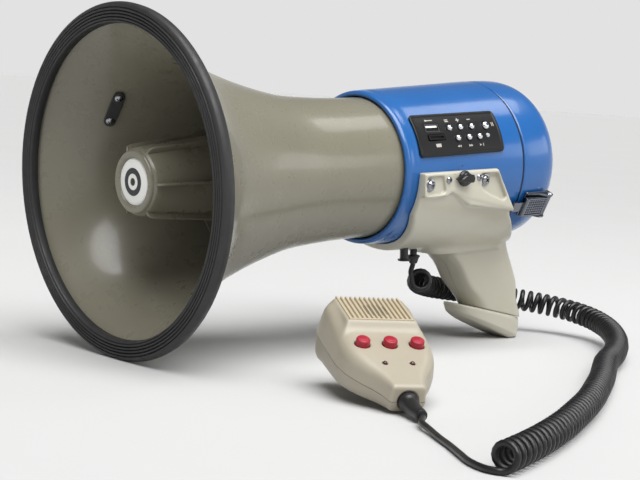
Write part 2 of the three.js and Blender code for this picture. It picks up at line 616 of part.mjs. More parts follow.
const MIC_FACE_LEAN = 8;
const MIC_BUTTON = { x: -43.5, pitch: 17, radius: 4.3 };
const MIC_LED = { x: -24, pitch: 17 };
const MIC_STATIONS = [
  { x: 0, half: 11, top: 9.5, back: 8 }, { x: -6, half: 12.5, top: 10.6, back: 8.6 },
  { x: -14, half: 16, top: 12, back: 9.4 }, { x: -24, half: 22.5, top: 13.5, back: 10.4 },
  { x: -34, half: 27.5, top: 14.8, back: 11.5 }, { x: -44, half: 29.6, top: 16, back: 12.6 },
  { x: -58, half: 30, top: 17.6, back: 14 }, { x: -61, half: 30, top: 22.6, back: 14.3 },
  { x: -92, half: 29.6, top: 23, back: 17.5 }, { x: -97.5, half: 27.6, top: 20.4, back: 16.6 },
  { x: -MIC_LENGTH, half: 25, top: 14, back: 11.5 },
];

function micRing({ x, half, top }, seam, inset) {
  const [w, h] = [half - inset, top - inset];
  const side = [[w, seam], [w - 0.4, h * 0.3], [w * 0.88, h * 0.72], [w * 0.79, h * 0.95], [w * 0.73, h]];
  const left = side.map(([y, z]) => new THREE.Vector3(x, y, z));
  const right = [...side].reverse().map(([y, z]) => new THREE.Vector3(x, -y, z));
  return [...left, ...right];
}

function backRing({ x, half, back }, seam, inset) {
  const [w, h] = [half - inset, back - inset];
  const side = [[w, -seam], [w - 0.5, -h * 0.35], [w * 0.86, -h * 0.82], [w * 0.7, -h]];
  const left = side.map(([y, z]) => new THREE.Vector3(x, y, z));
  const right = [...side].reverse().map(([y, z]) => new THREE.Vector3(x, -y, z));
  return [...left, ...right];
}

function addHandset(parent) {
  const inner = MIC_STATIONS.map((station, i) => {
    if (i === 0) return { ...station, x: station.x - 2.4 };
    if (i === MIC_STATIONS.length - 1) return { ...station, x: station.x + 2.4 };
    return station;
  });
  const neckHole = rod(4.2, [-12, 0, 0.5], [2, 0, 0.5]);
  const lean = new THREE.Matrix4().makeRotationY(MIC_FACE_LEAN * DEG);
  const leaned = (geometry, x, y, z) => geometry.applyMatrix4(lean).translate(x, y, z);
  const buttons = [-1, 0, 1].map((k) => ({ x: MIC_BUTTON.x, y: k * MIC_BUTTON.pitch, z: 15.9 }));
  const leds = [-0.5, 0.5].map((k) => ({ x: MIC_LED.x, y: k * MIC_LED.pitch, z: 13.5 }));
  const buttonHoles = buttons.map(({ x, y, z }) => (
    leaned(rod(MIC_BUTTON.radius + 0.4, [0, 0, -8], [0, 0, 6]), x, y, z)
  ));
  const ledHoles = leds.map(({ x, y, z }) => leaned(rod(1.7, [0, 0, -6], [0, 0, 4], 12), x, y, z));
  const grilleBed = block(-95, -62.4, -20.8, 20.8, 21.2, 30);
  const grilleHole = block(-90, -66, -14, 14, 12, 24);

  const front = loft(MIC_STATIONS.map((station) => micRing(station, GAP / 2, 0)));
  const frontRoom = loft(inner.map((station) => micRing(station, -2, 2.3)));
  add(parent, 'mic_front_shell', cut(
    front, frontRoom, neckHole, ...buttonHoles, ...ledHoles, grilleBed, grilleHole), CREAM);
  const back = loft(MIC_STATIONS.map((station) => backRing(station, GAP / 2, 0)));
  const backRoom = loft(inner.map((station) => backRing(station, -2, 2.3)));
  add(parent, 'mic_back_shell', cut(back, backRoom, neckHole), CREAM);

  const ribs = 14;
  const pitch = 40.6 / (ribs + 0.4);
  const comb = [[-20.3, 21.6], [20.3, 21.6]];
  for (let k = ribs - 1; k >= 0; k -= 1) {
    const y = -20.3 + (k + 0.2) * pitch;
    comb.push([y + pitch * 0.99, 22.5], [y + pitch * 0.8, 23.5], [y + pitch * 0.2, 23.5], [y + 0.01, 22.5]);
  }
  add(parent, 'mic_grille', sideCut(comb, -94.6, -62.8), CREAM);
  add(parent, 'mic_capsule', turnedOn(
    [[0, 11], [9, 11], [9, 18], [8, 18.4], [8, 21], [0, 21]], [-78, 0, 0], [0, 0, 1], 24), BLACK);

  buttons.forEach(({ x, y, z }, i) => {
    const key = turned([
      [0, -6], [2, -6], [2, -4], [4.7, -4], [4.7, -3.3], [MIC_BUTTON.radius, -3.3],
      [MIC_BUTTON.radius, 3.4], [3.7, 4], [0, 4.2],
    ], 20).rotateX(Math.PI / 2);
    add(parent, `mic_button_${i + 1}`, leaned(key, x, y, z), RED);
  });
  leds.forEach(({ x, y, z }, i) => {
    const lamp = turned([[0, -5], [1.4, -5], [1.4, 0.1], [0.9, 0.6], [0, 0.7]], 12).rotateX(Math.PI / 2);
    add(parent, `mic_led_${i + 1}`, leaned(lamp, x, y, z), DARK_RED);
  });

  const strip = new THREE.ExtrudeGeometry(outline([
    [-90, -17.65], [-68, -15.4], [-68, -17], [-81.8, -18.45], [-83.2, -31.15], [-76, -29], [-76, -30.6],
    [MIC_HOOK_FOOT.x, MIC_HOOK_FOOT.z], [-83.5, -18.65], [-90, -19.3],
  ]), { depth: 18, bevelEnabled: false });
  add(parent, 'mic_hook', strip.rotateX(Math.PI / 2).translate(0, 9, 0), STEEL);

  const steps = [
    { along: -7, radius: 3.8 }, { along: 0.35, radius: 3.8 }, { along: 0.36, radius: 6.1 },
    { along: 4, radius: 6 }, { along: 8, radius: 4.7 }, { along: 18, radius: 4 },
    { along: MIC_BOOT.length, radius: 3 },
  ];
  const boot = steps.map(({ along, radius }) => {
    const pitchAngle = Math.max(along, 0) / MIC_BOOT.length * micTilt;
    const z = MIC_BOOT.up + Math.max(along, 0) * Math.tan(pitchAngle / 2);
    return Array.from({ length: 16 }, (_, k) => {
      const angle = 2 * Math.PI * k / 16;
      const rise = radius * Math.sin(angle);
      return new THREE.Vector3(
        along - rise * Math.sin(pitchAngle), radius * Math.cos(angle), z + rise * Math.cos(pitchAngle));
    });
  });
  add(parent, 'mic_strain_relief', loft(boot), BLACK);
}

// ---------- assembly ----------

const micTilt = Math.atan((-MIC_NECK_DEPTH - MIC_HOOK_FOOT.z) / -MIC_HOOK_FOOT.x);

// The route of the curly part, which hangs from the gland, passes behind the grip and lies on the table.
const CURL_ROUTE = [
  [11.4, 269.3, 47.7], [1, 278, 45.8], [-11, 289, 43], [-22, 302.5, 39.8], [-29.5, 318, 36.6],
  [-33, 336, 33.8], [-33.5, 357, 31.2], [-30.5, 379, 28.8], [-22, 400, 26.3], [-8, 418, 23.7],
  [12, 430, 20.9], [37, 431, 18], [64, 420, 15], [92, 398, 12.2], [119, 368, 10.1], [142, 336, 9.1],
  [161, 306, 8.95], [183, 277, 8.95], [207, 246, 8.95], [230, 214, 8.95], [251, 184, 8.95],
  [270, 155, 8.95], [287, 127, 8.95], [303, 100, 8.95], [317, 74, 8.95], [329, 50, 8.95],
  [339, 28, 8.95], [347, 9, 8.95], [351.5, -2.5, 8.95],
];
const TOP_TAIL = [[7, 264.3, 57.2], [7.1, 264, 55.4]];
const MIC_TAIL = [
  [342.6, -5.2, 2.1], [328, -1, 2.1], [312, 8, 2.1], [295, 18, 2.1], [278, 27, 2.2], [262, 35.5, 2.9],
  [250, 41.5, 3.9],
];

function buildAll() {
  const object = new THREE.Group();

  const megaphone = new THREE.Group();
  megaphone.rotation.x = nose;
  megaphone.position.z = rimHeight;
  object.add(megaphone);
  addBell(megaphone);
  addReflexHorn(megaphone);
  addDriver(megaphone);
  addStrapFittings(megaphone);
  addBarrel(megaphone);
  addBatteries(megaphone);
  addPanel(megaphone);
  addGrip(megaphone);
  addSelector(megaphone);
  addLatch(megaphone, 'left', LATCH_ANGLE);
  addLatch(megaphone, 'right', 180 - LATCH_ANGLE);

  const handset = new THREE.Group();
  handset.position.set(MIC_NECK.x, MIC_NECK.y, MIC_NECK_DEPTH * Math.cos(micTilt));
  handset.rotation.set(0, micTilt, MIC_NECK.heading * DEG, 'ZYX');
  object.add(handset);
  addHandset(handset);

  object.updateMatrixWorld(true);
  const exit = megaphone.localToWorld(new THREE.Vector3(CORD_EXIT.x, CORD_EXIT.t, -CORD_EXIT.drop - GAP));
  const bootDrop = MIC_BOOT.length * Math.tan(micTilt / 2);
  const bootEnd = handset.localToWorld(new THREE.Vector3(MIC_BOOT.length + 1, 0, MIC_BOOT.up + bootDrop));
  const box = new THREE.Box3().setFromObject(object, true);

  add(object, 'cord_tail_top', tube([exit.toArray(), ...TOP_TAIL], WIRE_RADIUS, 8, 5), CORD);
  add(object, 'cord_curl', tube(CURL_ROUTE, CURL_RADIUS, 8, 54), CORD);
  const micTail = [...MIC_TAIL, bootEnd.toArray()];
  add(object, 'cord_tail_mic', tube(micTail, WIRE_RADIUS, 8, 20), CORD);

  // The object stands centred on its own footprint, with the cord left out of that measure.
  const centre = box.getCenter(new THREE.Vector3());
  const shift = new THREE.Group();
  object.position.set(-centre.x, -centre.y, 0);
  shift.add(object);
  return shift;
}

export default buildAll();
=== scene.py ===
# Looks of the handheld megaphone, its hand microphone and their curly cord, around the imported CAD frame.
# Shapes are written in millimetres in a local frame, and that frame's matrix places them in metres.

import json
import math

import bmesh
import bpy
import numpy as np
from mathutils import Matrix, Vector


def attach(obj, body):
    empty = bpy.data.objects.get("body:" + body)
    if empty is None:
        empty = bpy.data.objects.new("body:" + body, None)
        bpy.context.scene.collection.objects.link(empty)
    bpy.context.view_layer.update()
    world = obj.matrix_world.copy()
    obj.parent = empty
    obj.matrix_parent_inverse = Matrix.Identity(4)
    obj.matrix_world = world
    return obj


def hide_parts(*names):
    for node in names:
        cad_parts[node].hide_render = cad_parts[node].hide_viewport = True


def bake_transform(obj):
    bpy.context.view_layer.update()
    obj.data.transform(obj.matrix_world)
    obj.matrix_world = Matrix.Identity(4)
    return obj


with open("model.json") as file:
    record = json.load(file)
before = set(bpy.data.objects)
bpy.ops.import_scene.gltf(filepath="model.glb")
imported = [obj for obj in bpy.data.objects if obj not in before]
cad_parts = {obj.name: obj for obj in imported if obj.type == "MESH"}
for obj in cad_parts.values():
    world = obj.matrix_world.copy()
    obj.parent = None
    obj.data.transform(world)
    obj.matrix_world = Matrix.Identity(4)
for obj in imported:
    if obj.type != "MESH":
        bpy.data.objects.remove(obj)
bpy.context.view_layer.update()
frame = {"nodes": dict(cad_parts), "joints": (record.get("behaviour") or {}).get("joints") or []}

MM = 0.001
JOINTS = {joint["name"]: joint for joint in frame["joints"]}

# ---------- local frames, worked out from the CAD's joints ----------

SELECTOR_PIVOT = (66, 254, -5)              # of the selector's joint, in the megaphone's own frame
MIC_NECK = (217, 62)                        # from the middle of the rim, as the microphone lies
MIC_NECK_DEPTH = 8
MIC_HOOK_FOOT = (-84.9, -33.25)
MIC_HEADING = -24                           # degrees about the vertical
MIC_TILT = math.atan((-MIC_NECK_DEPTH - MIC_HOOK_FOOT[1]) / -MIC_HOOK_FOOT[0])


def spin(degrees, axis):
    return Matrix.Rotation(math.radians(degrees), 4, axis)


def megaphone_frame():
    """+Y runs from the rim to the rear cover along the axis, and +X is the megaphone's left."""
    left = Vector((1, 0, 0))
    rear = Vector(JOINTS["rear_cover_slide"]["axis"]).normalized()
    up = left.cross(rear)
    turn = Matrix((left, rear, up)).transposed()
    origin = Vector(JOINTS["selector_turn"]["pos_m"]) - turn @ Vector(SELECTOR_PIVOT) * MM
    return Matrix.LocRotScale(origin, turn, Vector((MM, MM, MM)))


MEGA = megaphone_frame()
SHIFT = Vector((MEGA.translation.x, MEGA.translation.y, 0))
TABLE = Matrix.Translation(SHIFT) @ Matrix.Scale(MM, 4)


def handset_frame():
    """+X runs towards the microphone's neck, and +Z out of its face."""
    place = Matrix.Translation((*MIC_NECK, MIC_NECK_DEPTH * math.cos(MIC_TILT)))
    return TABLE @ place @ spin(MIC_HEADING, "Z") @ Matrix.Rotation(MIC_TILT, 4, "Y")


HAND = handset_frame()


def radial(degrees):
    """+X points outwards at that angle above the left side, and +Y along the axis."""
    return MEGA @ spin(-degrees, "Y")


def linked(name, data):
    """A new object in the scene with that data."""
    made = bpy.data.objects.new(name, data)
    bpy.context.scene.collection.objects.link(made)
    return made


# ---------- camera ----------

CAMERA_FROM_RIM = (0.91965, -0.63178, 0.06939)
CAMERA_BACK = (0.74772, -0.65829, 0.08697)
CAMERA_UP = (-0.10991, 0.00647, 0.99392)
CAMERA_SENSOR, CAMERA_LENS = 36, 98.0


def make_camera():
    data = bpy.data.cameras.new("camera")
    data.sensor_width = CAMERA_SENSOR
    data.lens = CAMERA_LENS
    camera = linked("camera", data)
    back, up = Vector(CAMERA_BACK).normalized(), Vector(CAMERA_UP).normalized()
    right = up.cross(back).normalized()
    turn = Matrix((right, back.cross(right), back)).transposed().to_4x4()
    camera.matrix_world = Matrix.Translation(MEGA.translation + Vector(CAMERA_FROM_RIM)) @ turn
    bpy.context.scene.camera = camera


# ---------- mesh helpers ----------

def smooth_line(points, steps):
    """A centripetal Catmull-Rom curve through the points, with that many steps between each two."""
    p = np.array(points, float)
    p = np.vstack([2 * p[0] - p[1], p, 2 * p[-1] - p[-2]])
    knots = np.concatenate([[0], np.cumsum(np.linalg.norm(np.diff(p, axis=0), axis=1) ** 0.5)])
    line = []
    for i in range(1, len(p) - 2):
        k0, k1, k2, k3 = knots[i - 1:i + 3]
        for k in np.linspace(k1, k2, steps, endpoint=False):
            a = [((knots[j + 1] - k) * p[j] + (k - knots[j]) * p[j + 1]) / (knots[j + 1] - knots[j])
                 for j in (i - 1, i, i + 1)]
            b0 = ((k2 - k) * a[0] + (k - k0) * a[1]) / (k2 - k0)
            b1 = ((k3 - k) * a[1] + (k - k1) * a[2]) / (k3 - k1)
            line.append(((k2 - k) * b0 + (k - k1) * b1) / (k2 - k1))
    return np.array(line + [p[-2]])


def softened(points, radius, closed=True, steps=4):
    """The outline with its corners rounded."""
    p = [np.array(point, float) for point in points]
    line = []
    for i, corner in enumerate(p):
        if not closed and i in (0, len(p) - 1):
            line.append(corner)
            continue
        before, after = p[i - 1] - corner, p[(i + 1) % len(p)] - corner
        reach = min(radius, 0.49 * np.linalg.norm(before), 0.49 * np.linalg.norm(after))
        start = corner + before / np.linalg.norm(before) * reach
        end = corner + after / np.linalg.norm(after) * reach
        for s in np.linspace(0, 1, steps + 1):
            line.append((1 - s) ** 2 * start + 2 * s * (1 - s) * corner + s * s * end)
    return np.array(line)


def wall(outer, thickness):
    """The closed profile of a wall of even thickness inside an open outer line of radius and place."""
    outer = np.array(outer, float)
    along = np.gradient(outer, axis=0)
    along /= np.linalg.norm(along, axis=1)[:, None]
    inner = outer + thickness * np.column_stack([-along[:, 1], along[:, 0]])
    return np.vstack([outer, inner[::-1]])


ON_AXIS = 1e-6                   # a smaller radius is a point on the axis


def lathe(profile, sides, closed=False):
    """Turned about +Y from [radius, place] points. An open profile starts and ends on the axis."""
    angles = 2 * math.pi * np.arange(sides) / sides
    vertices, rings, faces = [], [], []
    for radius, place in profile:
        if radius < ON_AXIS:
            rings.append([len(vertices)] * sides)
            vertices.append((0, place, 0))
            continue
        rings.append(range(len(vertices), len(vertices) + sides))
        vertices.extend((radius * math.cos(a), place, radius * math.sin(a)) for a in angles)
    pairs = list(zip(rings, rings[1:])) + ([(rings[-1], rings[0])] if closed else [])
    for a, b in pairs:
        for k in range(sides):
            j = (k + 1) % sides
            corners = dict.fromkeys((a[k], b[k], b[j], a[j]))
            if len(corners) > 2:
                faces.append(tuple(corners))
    return vertices, faces


def prism(outline, low, high):
    """An outline in X and Y, given height from low to high along Z."""
    count = len(outline)
    vertices = [(x, y, z) for z in (low, high) for x, y in outline]
    faces = [tuple(range(count))[::-1], tuple(range(count, 2 * count))]
    faces += [(k, (k + 1) % count, count + (k + 1) % count, count + k) for k in range(count)]
    return vertices, faces


def loft(rings):
    """A skin through rings of equal count, closed at both ends."""
    count = len(rings[0])
    vertices = [tuple(p) for ring in rings for p in ring]
    faces = []
    for i in range(len(rings) - 1):
        for k in range(count):
            a, b = i * count + k, i * count + (k + 1) % count
            faces.append((a, b, b + count, a + count))
    faces += [tuple(range(count))[::-1], tuple(range(len(vertices) - count, len(vertices)))]
    return vertices, faces


def box(x0, x1, y0, y1, z0, z1):
    return prism([(x0, y0), (x1, y0), (x1, y1), (x0, y1)], z0, z1)


def rectangle(u, v, half_u, half_v):
    return [(u + a * half_u, v + b * half_v) for a, b in ((-1, -1), (1, -1), (1, 1), (-1, 1))]


def turned_shape(shape, matrix):
    """The shape moved by a matrix in its own local frame."""
    return [tuple(matrix @ Vector(v)) for v in shape[0]], shape[1]


def together(*shapes):
    vertices, faces = [], []
    for more, their_faces in shapes:
        start = len(vertices)
        vertices.extend(more)
        faces.extend(tuple(start + i for i in face) for face in their_faces)
    return vertices, faces


ALONG_X = spin(-90, "Z")         # turns a lathe's +Y to +X
ALONG_Z = spin(90, "X")          # turns a lathe's +Y to +Z
DOWN_Z = spin(-90, "X")          # turns a lathe's +Y to -Z
ABOUT_FACE = spin(180, "Z")      # turns +X to -X
UPRIGHT = Matrix(((0, 0, 1, 0), (1, 0, 0, 0), (0, 1, 0, 0), (0, 0, 0, 1)))     # turns X, Y, Z to Y, Z, X
SHARP_ANGLE = math.radians(38)
MOULDED_ANGLE = math.radians(80)         # moulded shapes have their edges rounded in the mesh
BEVEL_ANGLE = math.radians(35)
BEVEL_STEPS = 3


def soft_lathe(profile, radius, sides, steps=2):
    """Turned about +Y from an open profile, with its corners rounded."""
    return lathe(softened(profile, radius, closed=False, steps=steps), sides)


def upright_prism(outline, low, high):
    """An outline in Y and Z, given height from low to high along X."""
    return turned_shape(prism(outline, low, high), UPRIGHT)


def smoothed(mesh, sharp=SHARP_ANGLE):
    mesh.shade_smooth()
    mesh.set_sharp_from_angle(angle=sharp)


def tidy_mesh(mesh, sharp=SHARP_ANGLE):
    shell = bmesh.new()
    shell.from_mesh(mesh)
    bmesh.ops.recalc_face_normals(shell, faces=shell.faces)
    shell.to_mesh(mesh)
    shell.free()
    smoothed(mesh, sharp)


def placed(name, shape, where):
    """An object in the scene, made from a shape in the local frame `where`."""
    vertices, faces = shape
    points = np.array(vertices, float) @ np.array(where.to_3x3()).T + np.array(where.translation)
    mesh = bpy.data.meshes.new(name)
    mesh.from_pydata(points.tolist(), [], [tuple(f) for f in faces])
    tidy_mesh(mesh)
    return linked(name, mesh)


def piece(name, shape, where, material, nodes=(), body="megaphone", bevel=0.0):
    """A visible piece that rides on a body. The bevel is the width of its rounded edges in millimetres."""
    made = placed(name, shape, where)
    made.data.materials.append(material)
    if bevel:
        edge = made.modifiers.new("edge", "BEVEL")
        edge.width = bevel * MM
        edge.segments = BEVEL_STEPS
        edge.limit_method = "ANGLE"
        edge.angle_limit = BEVEL_ANGLE
        edge.harden_normals = True
    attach(made, body)
    if nodes:
        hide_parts(*nodes)
    return made


def carve(made, shape, where):
    """Takes a cutter's room out of a piece, and keeps the result as its mesh."""
    tool = placed("tool", shape, where)
    room = made.modifiers.new("room", "BOOLEAN")
    room.object = tool
    room.operation = "DIFFERENCE"
    room.solver = "EXACT"
    made.modifiers.move(len(made.modifiers) - 1, 0)
    others = [m for m in made.modifiers if m != room]
    for other in others:
        other.show_viewport = False
    graph = bpy.context.evaluated_depsgraph_get()
    mesh = bpy.data.meshes.new_from_object(made.evaluated_get(graph))
    made.modifiers.remove(room)
    for other in others:
        other.show_viewport = True
    made.data = mesh
    smoothed(mesh)
    bpy.data.objects.remove(tool)


def tube(path, radii, sides=12):
    """A round tube along a path, with a radius for each of its points, closed at both ends."""
    p = np.array(path, float)
    along = np.gradient(p, axis=0)
    along /= np.linalg.norm(along, axis=1)[:, None]
    side = np.cross(along[0], (0.0, 0.0, 1.0) if abs(along[0][2]) < 0.9 else (1.0, 0.0, 0.0))
    angles = 2 * math.pi * np.arange(sides) / sides
    rings = []
    for point, direction, radius in zip(p, along, radii):
        side = side - direction * side.dot(direction)
        side /= np.linalg.norm(side)
        other = np.cross(direction, side)
        rings.append(point + radius * (np.outer(np.cos(angles), side) + np.outer(np.sin(angles), other)))
    return loft(rings)


# ---------- moulded shapes from distance fields ----------

RELAX = 0.6                      # of the way to the middle of its neighbours, which a vertex moves
LONGEST_MOVE = 0.5               # of one step back to the surface, in grid units
FLATTEST = 1e-4                  # the least squared slope that a step back is worked out with


class Field:
    """A grid of points in millimetres, on which moulded shapes are described by their distance."""

    def __init__(self, low, high, step):
        axes = [np.arange(a, b + step, step, dtype=np.float32) for a, b in zip(low, high)]
        self.low, self.step = np.array(low, float), step
        self.x, self.y, self.z = np.meshgrid(*axes, indexing="ij", sparse=True)

    def surface(self, field, passes=6):
        """The surface where the field is zero, as vertices and faces, evened out along itself."""
        cells = np.array(field.shape) - 1
        total, count = np.zeros((int(cells.prod()), 3)), np.zeros(int(cells.prod()))
        quads = []
        for axis in range(3):
            a = np.moveaxis(np.moveaxis(field, axis, 0)[:-1], 0, axis)
            b = np.moveaxis(np.moveaxis(field, axis, 0)[1:], 0, axis)
            at = np.argwhere((a < 0) != (b < 0))
            u, v = (axis + 1) % 3, (axis + 2) % 3
            at = at[(at[:, u] > 0) & (at[:, v] > 0) & (at[:, u] < cells[u]) & (at[:, v] < cells[v])]
            fa, fb = a[tuple(at.T)], b[tuple(at.T)]
            crossing = at.astype(float)
            crossing[:, axis] += fa / (fa - fb)
            ring = []
            for du, dv in ((0, 0), (-1, 0), (-1, -1), (0, -1)):
                cell = at.copy()
                cell[:, u] += du
                cell[:, v] += dv
                flat = np.ravel_multi_index(tuple(cell.T), tuple(cells))
                ring.append(flat)
                count += np.bincount(flat, minlength=len(count))
                for k in range(3):
                    total[:, k] += np.bincount(flat, weights=crossing[:, k], minlength=len(count))
            ring = np.column_stack(ring)
            ring[fa < 0] = ring[fa < 0][:, ::-1]
            quads.append(ring)
        used = np.flatnonzero(count)
        number = np.full(len(count), -1)
        number[used] = np.arange(len(used))
        faces = number[np.vstack(quads)]
        points = total[used] / count[used][:, None]
        points = self.relaxed(points, faces, field, passes)
        return points * self.step + self.low, faces.tolist()

    @staticmethod
    def relaxed(points, faces, field, passes):
        """Each vertex moved towards the middle of its neighbours, then back onto the zero surface."""
        slopes = np.gradient(field)
        a, b = faces.ravel(), np.roll(faces, -1, axis=1).ravel()
        size = len(points)
        degree = np.bincount(a, minlength=size) + np.bincount(b, minlength=size)
        for _ in range(passes):
            mean = np.column_stack([
                np.bincount(a, weights=points[b, k], minlength=size)
                + np.bincount(b, weights=points[a, k], minlength=size) for k in range(3)])
            points = (1 - RELAX) * points + RELAX * mean / degree[:, None]
            for _ in range(2):
                value = sampled(field, points)
                slope = np.column_stack([sampled(s, points) for s in slopes])
                square = np.maximum((slope ** 2).sum(1), FLATTEST)
                move = slope * (value / square)[:, None]
                points = points - np.clip(move, -LONGEST_MOVE, LONGEST_MOVE)
        return points


def sampled(field, points):
    """The field's value at points in grid units."""
    low = np.clip(np.floor(points).astype(int), 0, np.array(field.shape) - 2)
    s = points - low
    value = 0
    for corner in np.ndindex(2, 2, 2):
        weight = np.prod([s[:, k] if c else 1 - s[:, k] for k, c in enumerate(corner)], axis=0)
        value = value + weight * field[tuple((low + corner).T)]
    return value


def merged(a, b, soft):
    """The union of two fields, with a fillet of about that size where they meet."""
    h = np.clip(0.5 + 0.5 * (b - a) / soft, 0, 1)
    return b + (a - b) * h - soft * h * (1 - h)


def kept(a, b, soft):
    """What two fields share, with their common edges rounded."""
    return -merged(-a, -b, soft)


def without(a, b, soft):
    return kept(a, -b, soft)


def inside_outline(outline, u, v):
    """Signed distance in a plane to an outline, less than zero inside it."""
    points = np.array(outline, float)
    best = np.full(np.broadcast(u, v).shape, 1e9)
    winding = np.zeros(best.shape, bool)
    for (x0, y0), (x1, y1) in zip(points, np.roll(points, -1, axis=0)):
        ex, ey = x1 - x0, y1 - y0
        s = np.clip(((u - x0) * ex + (v - y0) * ey) / (ex * ex + ey * ey), 0, 1)
        best = np.minimum(best, np.hypot(u - x0 - s * ex, v - y0 - s * ey))
        if y0 != y1:
            crosses = ((y0 > v) != (y1 > v)) & (u < ex * (v - y0) / ey + x0)
            winding ^= crosses
    return np.where(winding, -best, best).astype(np.float32)


def eased(at, places, values):
    """A smooth line through values at places."""
    places, values = np.array(places, float), np.array(values, float)
    slopes = np.gradient(values, places)
    i = np.clip(np.searchsorted(places, at) - 1, 0, len(places) - 2)
    h = places[i + 1] - places[i]
    s = np.clip((at - places[i]) / h, 0, 1)
    return ((1 + 2 * s) * (1 - s) ** 2 * values[i] + s * (1 - s) ** 2 * h * slopes[i]
            + s * s * (3 - 2 * s) * values[i + 1] + s * s * (s - 1) * h * slopes[i + 1])


def past_rectangle(u, v, half_u, half_v):
    """How far a point is past a rectangle's sides, less than zero inside it."""
    return np.maximum(np.abs(u) - half_u, np.abs(v) - half_v)


def oval(u, v, half_u, half_v, power):
    """How far outside a rounded oval a point is, roughly in millimetres."""
    size = (np.abs(u / half_u) ** power + np.abs(v / half_v) ** power) ** (1 / power)
    return (size - 1) * np.minimum(half_u, half_v)


def halved(made, plane_point, plane_normal):
    """Cuts a piece at a plane in metres, keeps the side that the normal points to, and closes it."""
    shell = bmesh.new()
    shell.from_mesh(made.data)
    geometry = shell.verts[:] + shell.edges[:] + shell.faces[:]
    cut = bmesh.ops.bisect_plane(
        shell, geom=geometry, plane_co=plane_point, plane_no=plane_normal, clear_inner=True)
    rim = [e for e in cut["geom_cut"] if isinstance(e, bmesh.types.BMEdge)]
    bmesh.ops.triangle_fill(shell, edges=rim, use_beauty=True)
    shell.to_mesh(made.data)
    shell.free()
    tidy_mesh(made.data, MOULDED_ANGLE)


# ---------- materials ----------

FIRST_COLOUR, SECOND_COLOUR, MIXED_COLOUR = 6, 7, 2      # a Mix node's sockets for colours


class Nodes:
    """A small builder for one material's nodes. An input's name has _ where the socket's has a space."""

    def __init__(self, name):
        self.material = bpy.data.materials.new(name)
        self.material.use_nodes = True
        self.tree = self.material.node_tree
        self.place = self.tree.nodes.new("ShaderNodeTexCoord").outputs["Object"]

    def fill(self, socket, value):
        if isinstance(value, bpy.types.NodeSocket):
            self.tree.links.new(value, socket)
        else:
            socket.default_value = value

    def node(self, kind, **inputs):
        node = self.tree.nodes.new(f"ShaderNode{kind}")
        for name, value in inputs.items():
            self.fill(node.inputs[name.replace("_", " ")], value)
        return node

    def shaded(self, **inputs):
        """The finished material, with these on its shader."""
        for name, value in inputs.items():
            self.fill(self.tree.nodes["Principled BSDF"].inputs[name.replace("_", " ")], value)
        return self.material

    def noise(self, size, detail=3, roughness=0.5, stretch=(1, 1, 1)):
        """Noise with features of about that size in millimetres."""
        mapping = self.node("Mapping", Vector=self.place, Scale=[s / (size * MM) for s in stretch])
        return self.node("TexNoise", Vector=mapping.outputs["Vector"], Scale=1, Detail=detail,
                         Roughness=roughness).outputs["Fac"]

    def remap(self, value, low, high, new_low, new_high):
        return self.node("MapRange", Value=value, From_Min=low, From_Max=high, To_Min=new_low,
                         To_Max=new_high).outputs["Result"]

    def mix(self, value, first, second):
        """From the first colour to the second as the value goes from 0 to 1."""
        node = self.node("Mix")
        node.data_type = "RGBA"
        self.fill(node.inputs["Factor"], value)
        for number, source in ((FIRST_COLOUR, first), (SECOND_COLOUR, second)):
            self.fill(node.inputs[number], (*source, 1) if isinstance(source, tuple) else source)
        return node.outputs[MIXED_COLOUR]

    def bump(self, value, height, strength, **after):
        """Relief of that height in millimetres, over the Normal given, if any."""
        return self.node("Bump", Height=value, Distance=height * MM, Strength=strength,
                         **after).outputs["Normal"]


def colour(red, green, blue):
    """A linear colour from one seen on a screen, 0 to 255."""
    shares = (red / 255, green / 255, blue / 255)
    return tuple(c / 12.92 if c < 0.04 else ((c + 0.055) / 1.055) ** 2.4 for c in shares)


def dimmed(tone, share):
    return tuple(share * c for c in tone)


COAT_ROUGHNESS = 0.1


def moulded(name, tone, deep_tone, roughness, peel=0.02, grain=0.003, coat=0.0, gloss=0.5):
    """Moulded plastic: slow drifts of tone, an orange peel skin, fine grain and faint handling marks."""
    n = Nodes(name)
    drift = n.remap(n.noise(70), 0.35, 0.7, 0, 1)
    speck = n.remap(n.noise(1.2, 2), 0.62, 0.75, 0, 0.12)
    return n.shaded(
        Base_Color=n.mix(speck, n.mix(drift, tone, deep_tone), deep_tone),
        Roughness=n.remap(n.noise(14, 5, 0.65), 0.3, 0.75, roughness - 0.02, roughness + 0.03),
        Normal=n.bump(n.noise(0.8, 1), grain, 0.4, Normal=n.bump(n.noise(5, 2), peel, 0.5)),
        IOR=1.5, Specular_IOR_Level=gloss, Coat_Weight=coat, Coat_Roughness=COAT_ROUGHNESS)


def rubber(name, tone, dusty, smooth=0.42, rough=0.62):
    n = Nodes(name)
    return n.shaded(
        Base_Color=n.mix(n.remap(n.noise(22, 5, 0.6), 0.45, 0.75, 0, 0.6), tone, dusty),
        Roughness=n.remap(n.noise(6, 4), 0.3, 0.7, smooth, rough),
        Normal=n.bump(n.noise(0.6), 0.03, 0.6),
        IOR=1.5)


def bright_metal(name, tone, roughness, scratch=0.004, stretch=(1, 1, 1)):
    n = Nodes(name)
    return n.shaded(
        Base_Color=n.mix(n.remap(n.noise(9, 4), 0.4, 0.75, 0, 0.35), tone, dimmed(tone, 0.7)),
        Roughness=n.remap(n.noise(2.5, 5, 0.7), 0.3, 0.75, roughness * 0.7, roughness * 1.5),
        Normal=n.bump(n.noise(0.5, 3, 0.6, stretch), scratch, 0.6),
        Metallic=1.0)


